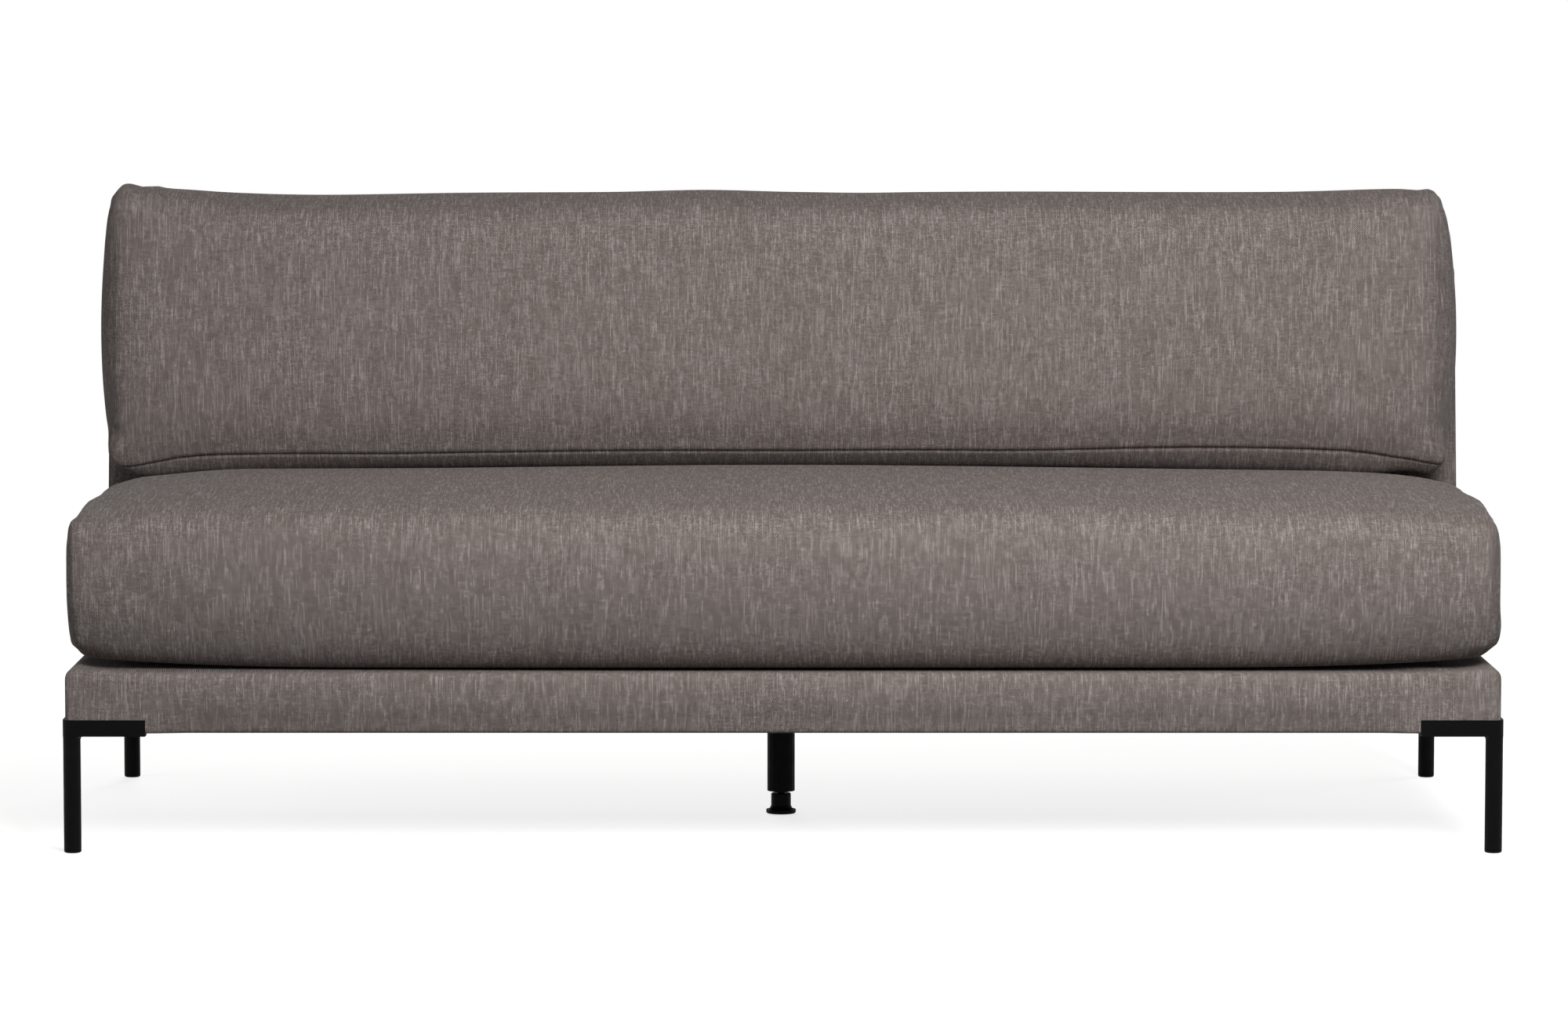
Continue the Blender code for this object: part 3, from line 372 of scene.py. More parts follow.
def coons(edge, counts):
    """Points filled between the four sides of a closed edge: the sum of the two ruled surfaces less
    the bilinear one, on the grid of the sides' own steps."""
    low, front, high, rear = sides_of(edge, counts)
    a = np.linspace(0, 1, counts[0] + 1)[:, None, None]
    b = np.linspace(0, 1, counts[1] + 1)[None, :, None]
    ruled = (1 - b) * low[:, None] + b * high[:, None] + (1 - a) * rear[None] + a * front[None]
    bilinear = (1 - b) * ((1 - a) * low[0] + a * low[-1]) + b * ((1 - a) * high[0] + a * high[-1])
    return ruled - bilinear


def faced(points, faces, sign):
    """The quads turned so that their summed normal points along X with that sign."""
    corner = points[faces]
    normal = np.cross(corner[:, 2] - corner[:, 0], corner[:, 3] - corner[:, 1]).sum(0)
    return faces if normal[0] * sign > 0 else faces[:, ::-1]


def end_panel(seam, ring, first, sign, bulge, reach, taper, insets, counts):
    """An end panel of a cushion, sewn to the wrap along seam, whose points have the indices in ring.

    Shrinking copies of the seam bulge outward by 1 - (1 - d/reach)^2 of the distance d from it, less
    towards the top and the bottom by taper times the squared height, and a Coons patch closes the last.
    Returns its points after the seam's, its quads and their seam gaps.
    """
    low, high = seam[:, 1:].min(0), seam[:, 1:].max(0)
    center, half = (low + high) / 2, (high - low) / 2
    out = sign * bulge * (1 - (1 - np.minimum(insets / reach, 1)) ** 2)[:, None]
    out = out * (1 - taper * ((seam[None, :, 2] - center[1]) / half[1]) ** 2)
    flat = center + (seam[None, :, 1:] - center) * (1 - insets[:, None] / half)[:, None]
    rings = np.concatenate([(seam[0, 0] + out)[:, :, None], flat], axis=2)
    patch = coons(rings[-1], counts)
    a, b = (np.linspace(-1, 1, n + 1) for n in counts)
    patch[..., 0] += (sign * bulge - out[-1].mean()) * (1 - a[:, None] ** 2) * (1 - b[None] ** 2)
    inside = patch[1:-1, 1:-1].reshape(-1, 3)

    size = len(seam)
    ring_index = np.concatenate([ring[None], first + np.arange(len(insets) * size).reshape(-1, size)])
    patch_index = np.zeros((counts[0] + 1, counts[1] + 1), int)
    patch_index[:, 0], patch_index[-1], patch_index[:, -1], patch_index[0] = sides_of(ring_index[-1], counts)
    start = first + len(insets) * size
    patch_index[1:-1, 1:-1] = (start + np.arange(len(inside))).reshape(counts[0] - 1, counts[1] - 1)
    faces = quads(with_first(ring_index)), quads(patch_index)
    gaps = np.concatenate([np.repeat(insets, size), np.full(len(inside), insets[-1] + PANEL_GAP)])
    return np.concatenate([rings.reshape(-1, 3), inside]), faces, gaps


def cushion(section_at, shape, counts):
    """A sewn cushion cover: one panel wrapped round a section and carried along X, and two end panels.

    The wrap is section_at(x), an array of (y, z) sections. Near each end it rolls inward on an arc up
    to the end seam. Returns the points, the quads, their corners' UV in metres, each point's gap from
    an end seam, and the girth of each point of the wrap's section.
    """
    middle = section_at(np.zeros(1))[0]
    size = len(middle)
    girth = girth_of(middle)
    left, right = shape["ends"]
    theta = np.linspace(0, shape["roll_angle"], shape["roll_steps"] + 1)[1:]
    roll_x, roll_in = shape["roll"] * np.sin(theta), shape["roll"] * (1 - np.cos(theta))
    straight = np.linspace(-left, right, shape["stations"])
    x = np.concatenate([-left - roll_x[::-1], straight, right + roll_x])
    inset = np.concatenate([roll_in[::-1], 0 * straight, roll_in])
    sections = section_at(x) - inset[:, None, None] * outward(middle)
    along = np.broadcast_to(x[:, None, None], (len(x), size, 1))
    wrap = np.concatenate([along, sections], axis=2)

    index = np.arange(len(x) * size).reshape(len(x), size)
    uv = [quads(np.stack(np.meshgrid(x, girth, indexing="ij"), axis=-1))]
    points, faces = [wrap.reshape(-1, 3)], [quads(with_first(index))]
    gaps = [np.repeat(np.minimum(x - x[0], x[-1] - x), size)]
    panels = []
    insets = np.array(shape["rings"])
    for sign, row, swollen in ((-1, 0, shape["bulge"][0]), (1, -1, shape["bulge"][1])):
        first = sum(len(part) for part in points)
        more, panel, gap = end_panel(wrap[row], index[row], first, sign, *swollen, insets, counts)
        points.append(more)
        gaps.append(gap)
        panels += [(sign, part) for part in panel]
    points = np.concatenate(points)
    for sign, part in panels:
        part = faced(points, part, sign)
        faces.append(part)
        uv.append(points[part][:, :, 1:])
    return points, np.concatenate(faces), np.concatenate(uv), np.concatenate(gaps), girth[:-1]


def normals_of(points, faces):
    """Unit point normals: the sum of the crossed diagonals of the quads at each point."""
    corner = points[faces]
    cross = np.cross(corner[:, 2] - corner[:, 0], corner[:, 3] - corner[:, 1])
    total = np.zeros_like(points)
    np.add.at(total, faces.reshape(-1), np.repeat(cross, 4, axis=0))
    return total / np.maximum(np.linalg.norm(total, axis=1, keepdims=True), 1e-12)


def swell(points, faces, gaps):
    """It is held at the end seams, at the rear and below. A point moves by at most SIM_MOST. Returns the
    moved points.
    """
    normal = normals_of(points, faces)
    held_still = (gaps < HELD_GAP) | (normal[:, 1] > HELD_TURN) | (normal[:, 2] < -HELD_TURN)
    mesh = bpy.data.meshes.new("swell")
    mesh.from_pydata(points.tolist(), [], faces.tolist())
    obj = bpy.data.objects.new("swell", mesh)
    scene = bpy.context.scene
    scene.collection.objects.link(obj)
    held = obj.vertex_groups.new(name="held")
    held.add(np.nonzero(held_still)[0].tolist(), 1.0, "REPLACE")
    cloth = obj.modifiers.new("cloth", "CLOTH")
    for setting, value in SIM_SETTINGS.items():
        setattr(cloth.settings, setting, value)
    cloth.settings.vertex_group_mass = "held"
    cloth.settings.effector_weights.gravity = 0
    cloth.point_cache.frame_start = 1
    cloth.point_cache.frame_end = SIM_FRAMES
    for number in range(1, SIM_FRAMES + 1):
        scene.frame_set(number)
    evaluated = obj.evaluated_get(bpy.context.evaluated_depsgraph_get())
    moved = np.zeros(len(points) * 3, np.float32)
    evaluated.data.vertices.foreach_get("co", moved)
    bpy.data.objects.remove(obj)
    scene.frame_set(1)
    change = moved.reshape(-1, 3) - points
    far = np.linalg.norm(change, axis=1, keepdims=True)
    return points + change * np.minimum(1, SIM_MOST / np.maximum(far, 1e-9))


def pressed(points, dents):
    """The points moved by soft dents and bumps: each (place, widths, move) is a bell in x, y and z."""
    for place, widths, move in dents:
        share = np.exp(-(((points - np.array(place)) / np.array(widths)) ** 2).sum(1))
        points = points + share[:, None] * np.array(move)
    return points


def puckers(points, gaps):
    """Depths of the small gathers along the end seams: a wandering wave that fades away from the seam."""
    wave = ripple(points[:, 1] + points[:, 2], PUCKER_PITCH, 0.7)
    return PUCKER_DEPTH * wave * bell(gaps - PUCKER_PLACE, PUCKER_WIDTH)


def piece(name, points, faces, uv, material, replaces=()):
    """A smooth-shaded mesh on the sofa's body, with a weave UV map, standing for CAD nodes."""
    mesh = bpy.data.meshes.new(name)
    mesh.from_pydata(points.tolist(), [], faces if isinstance(faces, list) else faces.tolist())
    if uv is not None:
        layer = mesh.uv_layers.new(name="weave")
        layer.data.foreach_set("uv", uv.astype(np.float32).ravel())
    mesh.materials.append(material)
    mesh.shade_smooth()
    obj = bpy.data.objects.new(name, mesh)
    bpy.context.scene.collection.objects.link(obj)
    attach(obj, "sofa")
    if replaces:
        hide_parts(*replaces)
    return obj


# Cushions

# Section of the seat cushion, (y, z): from the rear bottom corner forward, up the front, back over the top
SEAT_KNOTS = np.array([
    (0.131, 0.2330), (0.108, 0.2250), (-0.10, 0.2240), (-0.300, 0.2258), (-0.3365, 0.2330), (-0.3505, 0.2470),
    (-0.3610, 0.2690), (-0.3697, 0.2940), (-0.3748, 0.3190), (-0.3770, 0.3450), (-0.3760, 0.3780),
    (-0.3715, 0.4010), (-0.3648, 0.4146), (-0.3515, 0.4234), (-0.300, 0.4314), (-0.18, 0.4440),
    (-0.03, 0.4500), (0.090, 0.4485), (0.126, 0.4370), (0.1440, 0.4110), (0.1465, 0.3700), (0.1465, 0.3000),
    (0.1425, 0.2560)])
SEAT_SIDES = (0, 5, 12, 18)
SEAT_STEPS = (62, 38)
SEAT_SHAPE = {"roll": 0.022, "roll_angle": math.radians(52), "roll_steps": 8, "ends": (0.874, 0.874),
              "stations": 160, "bulge": ((0.005, 0.025, 0.1), (0.006, 0.025, 0.1)),
              "rings": (0.0018, 0.0038, 0.0065, 0.010, 0.015, 0.022, 0.030)}
SEAT_CROWN = 0.0072  # fall of the top from its crown in the middle
SEAT_END_FALL, SEAT_REAR_FALL = 0.010, 0.002  # further fall next to the ends, and more of it behind
SEAT_FULL = 0.003  # fuller places behind
SEAT_SHOULDER, SEAT_SHOULDER_SHIFT = 0.008, 0.003  # last fall behind, more of it on the left
SEAT_WORN = 0.004  # fall of the front crest on the right
SEAT_LIFT = 0.013  # lift of the bottom corners off the base
SEAT_PUCKERS = 0.25  # share of the puckers' depth
SEAT_DENTS = (  # place, widths and move
    ((-0.893, -0.345, 0.411), (0.012, 0.020, 0.008), (-0.0035, -0.001, 0.002)),  # ear at the left crest
    ((0.893, -0.350, 0.270), (0.024, 0.060, 0.028), (0.0052, 0.000, 0.001)),  # full corner low on the right
    ((-0.882, -0.350, 0.245), (0.020, 0.060, 0.009), (0.0045, 0.000, 0.003)),  # slant below the lower corners
    ((0.882, -0.350, 0.245), (0.020, 0.060, 0.009), (-0.0045, 0.000, 0.003)),
    ((-0.893, -0.180, 0.436), (0.022, 0.200, 0.018), (-0.0030, 0.000, 0.000)),  # full upper edges of the ends
    ((0.893, -0.180, 0.431), (0.030, 0.200, 0.021), (0.0078, 0.000, 0.000)),
)

# Section of the back cushion at the middle and at its ends, in the same order; knot 3 is the bottom seam
BACK_KNOTS = np.array([
    (0.1720, 0.4520), (0.1520, 0.4455), (0.1300, 0.4452), (0.0950, 0.4675), (0.0850, 0.4790), (0.0750, 0.4980),
    (0.0665, 0.5280), (0.0635, 0.5600), (0.0660, 0.6200), (0.0735, 0.7000), (0.0805, 0.7520), (0.0860, 0.7735),
    (0.0985, 0.7855), (0.1290, 0.7945), (0.1650, 0.8018), (0.2000, 0.8067), (0.2270, 0.8020), (0.2390, 0.7830),
    (0.2375, 0.7500), (0.2135, 0.6050), (0.1852, 0.4830), (0.1800, 0.4640)])
BACK_END_KNOTS = np.array([
    (0.1720, 0.4440), (0.1520, 0.4410), (0.1270, 0.4412), (0.0990, 0.4525), (0.0900, 0.4610), (0.0800, 0.4800),
    (0.0705, 0.5150), (0.0670, 0.5550), (0.0690, 0.6200), (0.0770, 0.7000), (0.0860, 0.7600), (0.0960, 0.7880),
    (0.1120, 0.8010), (0.1340, 0.8080), (0.1650, 0.8115), (0.1950, 0.8115), (0.2190, 0.8040), (0.2330, 0.7830),
    (0.2345, 0.7500), (0.2125, 0.6050), (0.1852, 0.4830), (0.1800, 0.4640)])
BACK_SIDES = (0, 3, 12, 16)
BACK_STEPS = (22, 62)
BACK_SEAM_KNOT = 3
BACK_SHAPE = {"roll": 0.030, "roll_angle": math.radians(45), "roll_steps": 9, "ends": (0.861, 0.848),
              "stations": 160, "bulge": ((0.0175, 0.058, 0.35), (0.0250, 0.062, 0.32)),
              "rings": (0.0018, 0.0038, 0.0065, 0.010, 0.015, 0.021, 0.028, 0.036, 0.045)}
# Heights of the bottom seam and of the foot below it, along the cushion
BACK_SEAM_LINE = (
    (-0.884, 0.4500), (-0.877, 0.4465), (-0.866, 0.4470), (-0.856, 0.4478), (-0.846, 0.4499), (-0.825, 0.4540),
    (-0.804, 0.4582), (-0.763, 0.4624), (-0.685, 0.4644), (-0.530, 0.4644), (-0.374, 0.4665), (-0.218, 0.4686),
    (0.015, 0.4686), (0.170, 0.4696), (0.326, 0.4691), (0.403, 0.4707), (0.481, 0.4728), (0.637, 0.4728),
    (0.714, 0.4707), (0.751, 0.4686), (0.792, 0.4639), (0.813, 0.4603), (0.834, 0.4572), (0.846, 0.4545),
    (0.858, 0.4510), (0.870, 0.4440))
BACK_FOOT_LINE = (
    (-0.884, 0.4400), (-0.877, 0.4390), (-0.866, 0.4370), (-0.852, 0.4315), (-0.830, 0.4300), (-0.80, 0.4330),
    (-0.70, 0.4375), (-0.50, 0.4415), (0.0, 0.4455), (0.50, 0.4420), (0.70, 0.4375), (0.79, 0.4345),
    (0.818, 0.4372), (0.834, 0.4385), (0.850, 0.4358), (0.870, 0.4310))
BACK_TOP_WAVES = (  # height, place along X and width of each bell along its top
    (0.0035, -0.10, 0.09), (0.0012, 0.33, 0.15), (-0.0035, -0.62, 0.14), (-0.0012, 0.11, 0.05),
    (0.002, 0.80, 0.08), (0.003, -0.82, 0.06), (0.0085, -0.885, 0.019), (0.0035, -0.862, 0.013),
    (0.0030, -0.833, 0.012), (0.012, 0.879, 0.0155), (-0.0020, 0.852, 0.016))
BACK_ENDS_FROM, BACK_ENDS_TO = 0.66, 0.885  # where the section goes over to that of the ends
BACK_ROUND, BACK_ROUND_FROM, BACK_ROUND_REACH = 0.010, 0.815, 0.066  # rounding off next to the ends
BACK_SEAM_REACH = 0.06  # height over which the front panel moves with the bottom seam
BACK_GROOVE, BACK_GROOVE_WIDTH = 0.0026, 0.0021  # bottom seam
BACK_LIP, BACK_LIP_PLACE, BACK_LIP_WIDTH = 0.0014, 0.009, 0.006  # swelling above it
BACK_END_SEAM = 0.6  # share of the end seams' depth
BACK_DENTS = (  # place, widths and move
    ((-0.884, 0.095, 0.463), (0.022, 0.050, 0.018), (-0.0050, -0.003, 0.000)),  # lobe low on the left
    ((-0.884, 0.080, 0.494), (0.012, 0.040, 0.007), (0.0030, 0.002, 0.000)),  # nick above it
    ((0.872, 0.095, 0.460), (0.020, 0.050, 0.016), (0.0070, -0.003, -0.001)),  # point low on the right
)


def build_seat(cloth):
    """The seat cushion: crowned in the middle, its bottom corners lifted off the base.

    The top falls by 7.2 mm times 1 - exp(-(x/0.45)^2) behind the front crest, by 10 to 12 mm more next to
    the ends, and behind there by another 11 mm on the left and 5 mm on the right. Behind, it is 3 mm fuller
    on the left and near the right end. Its front crest lies 4 mm lower on the right. The bottom corners
    lift by 13 mm times ((|x| - 0.5)/0.38)^2.5.
    """
    matrix = closed_spline(SEAT_KNOTS, SEAT_SIDES, SEAT_STEPS * 2)
    y, z = (matrix @ SEAT_KNOTS).T[:, None]

    def section_at(x):
        x = x[:, None]
        far = np.abs(x)
        behind, upper = smooth(-0.30, 0.0, y), smooth(0.39, 0.43, z)
        fall = SEAT_CROWN * (1 - bell(far, 0.45)) * smooth(-0.36, -0.02, y) * smooth(0.33, 0.43, z)
        next_to_end = smooth(0.76 - 0.06 * behind, 0.90, far)
        fall = fall + (SEAT_END_FALL + SEAT_REAR_FALL * behind) * next_to_end * upper
        full = SEAT_FULL * smooth(0.40, 0.78, -x) + SEAT_FULL * bell(x - 0.81, 0.06)
        shoulder = (SEAT_SHOULDER - SEAT_SHOULDER_SHIFT * np.sign(x)) * smooth(0.835, 0.90, far)
        fall = fall - (full - shoulder) * behind * upper
        worn = smooth(0.25, 0.70, x) * (1 - smooth(0.80, 0.87, far))
        fall = fall + SEAT_WORN * worn * (1 - smooth(-0.33, -0.24, y)) * smooth(0.38, 0.42, z)
        lift = SEAT_LIFT * np.clip((far - 0.5) / 0.38, 0, 1.2) ** 2.5 * (1 - smooth(0.24, 0.33, z))
        return np.stack([y + 0 * far, z - fall + lift], axis=2)

    points, faces, uv, gaps, _ = cushion(section_at, SEAT_SHAPE, SEAT_STEPS)
    points = swell(points, faces, gaps)
    groove = SEAM_GROOVE * bell(gaps, SEAM_WIDTH) + SEAT_PUCKERS * puckers(points, gaps)
    points = points - normals_of(points, faces) * groove[:, None]
    points = pressed(points, SEAT_DENTS)
    made = piece("seat_cushion", points, faces, uv, cloth,
                 ("seat_cushion_cover", "seat_cushion_core"))


def build_back_cushion(cloth):
    """The back cushion: leaning on the back frame, its front panel sewn to the boxing along its bottom.

    Sections go from the middle one to the end one as |x| goes from 0.66 to 0.885. The top edge wanders by
    the bells in BACK_TOP_WAVES. The bottom seam and the foot follow their lines, and the front panel moves
    with the seam, less and less up to 60 mm above it. Its last 66 mm round off by 10 mm times a square.
    """
    matrix = closed_spline(BACK_KNOTS, BACK_SIDES, BACK_STEPS * 2, tight=(BACK_SEAM_KNOT,))
    middle, ends = matrix @ BACK_KNOTS, matrix @ BACK_END_KNOTS
    seams = BACK_KNOTS[BACK_SEAM_KNOT, 1], BACK_END_KNOTS[BACK_SEAM_KNOT, 1]
    feet = middle[:, 1].min(), ends[:, 1].min()
    seam = BACK_KNOTS[BACK_SEAM_KNOT]

    def section_at(x):
        x = x[:, None]
        share = smooth(BACK_ENDS_FROM, BACK_ENDS_TO, np.abs(x))
        y = middle[:, 0] * (1 - share) + ends[:, 0] * share
        z = middle[:, 1] * (1 - share) + ends[:, 1] * share
        top = sum(height * bell(x - place, width) for height, place, width in BACK_TOP_WAVES)
        z = z + top * smooth(0.72, 0.80, z)
        front = 1 - smooth(0.13, 0.17, y)
        was, foot = (level[0] * (1 - share) + level[1] * share for level in (seams, feet))
        seam_line, foot_line = drawn(x, BACK_SEAM_LINE), drawn(x, BACK_FOOT_LINE)
        above = z + (seam_line - was) * (1 - smooth(0, BACK_SEAM_REACH, z - was))
        below = foot_line + (z - foot) * (seam_line - foot_line) / (was - foot)
        z = z + front * (np.where(z > was, above, below) - z)
        rounding = BACK_ROUND * np.clip((np.abs(x) - BACK_ROUND_FROM) / BACK_ROUND_REACH, 0, 1) ** 2
        y = y + rounding * front * smooth(0.45, 0.50, z) * (1 - smooth(0.74, 0.80, z))
        return np.stack([y, z], axis=2)

    points, faces, uv, gaps, girth = cushion(section_at, BACK_SHAPE, BACK_STEPS)
    points = swell(points, faces, gaps)
    normal = normals_of(points, faces)
    seam_girth = girth[np.argmin(np.linalg.norm(middle - seam, axis=1))]
    rows = BACK_SHAPE["stations"] + 2 * BACK_SHAPE["roll_steps"]
    from_seam = np.full(len(points), 1.0)
    from_seam[:rows * len(girth)] = np.tile(girth - seam_girth, rows)
    groove = BACK_END_SEAM * SEAM_GROOVE * bell(gaps, SEAM_WIDTH)
    groove = groove + BACK_GROOVE * bell(from_seam, BACK_GROOVE_WIDTH) + puckers(points, gaps)
    lip = BACK_LIP * bell(from_seam - BACK_LIP_PLACE, BACK_LIP_WIDTH)
    points = points + normal * (lip - groove)[:, None]
    points = pressed(points, BACK_DENTS)
    made = piece("back_cushion", points, faces, uv, cloth,
                 ("back_cushion_cover", "back_cushion_fill"))


# Stretched covers of the base and the back frame

COVER_FOOT, COVER_FOOT_STEPS = 0.004, 3  # round lower edge of both covers

BASE_X, BASE_Y = 0.8967, 0.3767
BASE_CORNER, BASE_CORNER_LEAST = 0.008, 0.002  # radius in plan, and its least on inner rings
BASE_UNDERSIDE, BASE_TOP = 0.1503, 0.2268
BASE_EDGE, BASE_EDGE_STEPS = 0.012, 7  # round upper edge
BASE_WALL_STEPS = 9
BASE_STEPS = (150, 56, 6)
DECK_IN = np.array([0.016, 0.022, 0.030, 0.045])  # the deck sinks behind the firm edge
DECK_DROP = np.array([0.0003, 0.0018, 0.0030, 0.0034])
END_RISE = 0.0044  # rise of the top towards the ends
TURN_UNDER = 0.025
HEM_IN = np.array([TURN_UNDER + 0.001, TURN_UNDER, 0.012])  # hem, from its cut edge to the foot
HEM_LEVEL = np.array([0.1521, BASE_UNDERSIDE, BASE_UNDERSIDE])
WALL_SWELL, WALL_DRAW = 0.004, 0.006  # swelling of the front and rear, and drawing in below
WALL_ZONE, WALL_IN = 0.035, 0.02  # how near the front or rear, and how little inset, a point there lies

BACK_X, BACK_REAR = 0.9000, 0.3767
BACK_FOOT, BACK_TOP = 0.2303, 0.7200
BACK_FRONT, BACK_FRONT_LEVEL = 0.1567, 0.230  # a point of the front's line
BACK_RAKE = math.tan(math.radians(9))
BACK_CORNER, BACK_CORNER_LEAST = 0.014, 0.003
BACK_EDGE, BACK_EDGE_STEPS = 0.022, 8
BACK_UNDER_IN, BACK_OVER_IN = 0.03, 0.045  # insets of its lowest and its highest ring
BACK_WALL_STEPS = 40
BACK_RIGHT_OUT = 0.006  # how far its right end stands out, as in the photograph
FRAME_STEPS = (150, 20, 6)
FRAME_GROOVE = 0.0018

DUST_X, DUST_Y, DUST_CUT = 0.8714, 0.3514, 0.1045
DUST_HOLE = 0.0188
DUST_LEVEL = 0.1514
DUST_SAG = 0.0007
DUST_WAVE, DUST_PHASE = 0.31, 1.3  # pitch and start of the wave in its sag
DUST_STEPS = (16, 40)  # along each side, and from the hole out
DUST_THICKNESS = 0.0004


def rounded_plan(half_x, front, rear, radius, steps):
    """Rings of a rounded rectangle in plan, counter-clockwise from the front's left end.

    half_x, front, rear and radius are arrays of one value for each ring. A corner is a quarter circle.
    steps are those on the front or rear, on an end and on a corner.
    """
    long, short, corner = steps
    angle = np.linspace(0, np.pi / 2, corner + 1)[:-1]
    half_x, front, rear, radius = (np.asarray(v, float)[:, None] for v in (half_x, front, rear, radius))
    across = np.linspace(-1, 1, long + 1)[:-1] * (half_x - radius)
    up = np.linspace(0, 1, short + 1)[:-1] * (rear - front - 2 * radius)
    sine, cosine = radius * np.sin(angle), radius * np.cos(angle)
    side, near, far = half_x - radius, front + radius, rear - radius
    x = [across, side + sine, half_x + 0 * up, side + cosine,
         -across, -side - sine, -half_x + 0 * up, -side - cosine]
    y = [front + 0 * across, near - cosine, near + up, far + sine,
         rear + 0 * across, far + cosine, far - up, near - sine]
    return np.stack([np.concatenate(x, axis=1), np.concatenate(y, axis=1)], axis=2)


def stretched_cover(rings, z):
    """A closed cover of stacked rings from its underside to its top, closed by two flat faces.

    Returns the points, the faces as lists, and their corners' UV: girth and height on the walls, and x
    and y on level parts.
    """
    count, size = rings.shape[:2]
    points = np.concatenate([rings, np.broadcast_to(z[:, None, None], (count, size, 1))], axis=2)
    widest = rings[np.argmax(rings[:, :, 0].max(1))]
    steps = np.linalg.norm(np.diff(points, axis=0), axis=2).mean(1)
    height = np.concatenate([[0], np.cumsum(steps)])
    index = np.arange(count * size).reshape(count, size)
    grid = np.stack(np.broadcast_arrays(girth_of(widest)[None], height[:, None]), axis=-1)
    outside = [0, 3, 2, 1]  # order of a quad's corners that faces out
    walls, uv = quads(with_first(index))[:, outside], quads(grid)[:, outside]
    faces = walls.tolist() + [index[0, ::-1].tolist(), index[-1].tolist()]
    uv = np.concatenate([uv.reshape(-1, 2), rings[0, ::-1], rings[-1]])
    return points.reshape(-1, 3), faces, uv


def quarter(radius, steps):
    """Insets and rises of a quarter-round edge, from the wall to the level top."""
    angle = np.linspace(0, np.pi / 2, steps + 1)
    return radius * (1 - np.cos(angle)), radius * np.sin(angle)


def build_base(cloth):
    """The base's cover: a slim box, padded at its front, turned under 25 mm to its cut edge and closed below
    by a flat face.

    Away from the legs, its front and rear swell by 4 mm times 1 - ((z - 0.200)/0.032)^2, and draw in below
    by 6 mm times ((0.192 - z)/0.042)^2. The deck sinks by 3.4 mm behind the edge, which rises by 4.4 mm
    towards the ends.
    """
    edge_in, edge_up = quarter(BASE_EDGE, BASE_EDGE_STEPS)
    foot_in, foot_up = quarter(COVER_FOOT, COVER_FOOT_STEPS)
    low, high = BASE_UNDERSIDE + COVER_FOOT, BASE_TOP - BASE_EDGE
    wall = np.linspace(low, high, BASE_WALL_STEPS + 2)[1:-1]
    inset = np.concatenate([HEM_IN, foot_in[::-1], 0 * wall, edge_in, DECK_IN])
    z = np.concatenate([HEM_LEVEL, low - foot_up[::-1], wall, high + edge_up, BASE_TOP - DECK_DROP])
    radius = np.maximum(BASE_CORNER - inset, BASE_CORNER_LEAST)
    rings = rounded_plan(BASE_X - inset, -BASE_Y + inset, BASE_Y - inset, radius, BASE_STEPS)
    height, y = z[:, None], rings[:, :, 1]
    share = (1 - smooth(0.74, 0.795, np.abs(rings[:, :, 0]))) * (inset < WALL_IN)[:, None]
    swollen = WALL_SWELL * np.clip(1 - ((height - 0.200) / 0.032) ** 2, 0, 1)
    drawn_in = WALL_DRAW * np.clip((0.192 - height) / 0.042, 0, 1) ** 2
    side = np.sign(y) * (np.abs(y) > BASE_Y - WALL_ZONE)
    rings[:, :, 1] = y + side * share * (swollen - drawn_in)
    points, faces, uv = stretched_cover(rings, z)
    points[:, 2] += END_RISE * smooth(0.80, 0.89, np.abs(points[:, 0])) * smooth(0.20, 0.225, points[:, 2])
    made = piece("base_upholstery", points, faces, uv, cloth, ("base_cover", "base_padding"))


def build_back_frame(cloth):
    """The back frame's cover: a leaning front, square ends, and a round over its top edges.

    A seam joins each end to the wrap: a groove up the middle of the end's two corners and along the
    middle of its top edge.
    """
    edge_in, edge_up = quarter(BACK_EDGE, BACK_EDGE_STEPS)
    foot_in, foot_up = quarter(COVER_FOOT, COVER_FOOT_STEPS)
    low, high = BACK_FOOT + COVER_FOOT, BACK_TOP - BACK_EDGE
    wall = np.linspace(low, high, BACK_WALL_STEPS + 2)[1:-1]
    inset = np.concatenate([[BACK_UNDER_IN], foot_in[::-1], 0 * wall, edge_in, [BACK_OVER_IN]])
    z = np.concatenate([[BACK_FOOT], low - foot_up[::-1], wall, high + edge_up, [BACK_TOP]])
    front = BACK_FRONT + (z - BACK_FRONT_LEVEL) * BACK_RAKE
    radius = np.maximum(BACK_CORNER - inset, BACK_CORNER_LEAST)
    rings = rounded_plan(BACK_X - inset, front + inset, BACK_REAR - inset, radius, FRAME_STEPS)
    rings[:, :, 0] += BACK_RIGHT_OUT * smooth(0.5, 0.9, rings[:, :, 0])
    points, faces, uv = stretched_cover(rings, z)
    long, short, corner = FRAME_STEPS
    seam = np.zeros(rings.shape[:2])
    edge = len(z) - 2 - BACK_EDGE_STEPS // 2
    for first in (0, long + short + 2 * corner):
        end = first + long + corner // 2 + np.arange(short + corner + 1)
        seam[:edge + 1, end[[0, -1]]] = FRAME_GROOVE
        seam[edge, end] = FRAME_GROOVE
    points = points - normals_of(points, np.array(faces[:-2])) * seam.reshape(-1, 1)
    made = piece("back_upholstery", points, faces, uv, cloth, ("back_cover", "back_padding"))


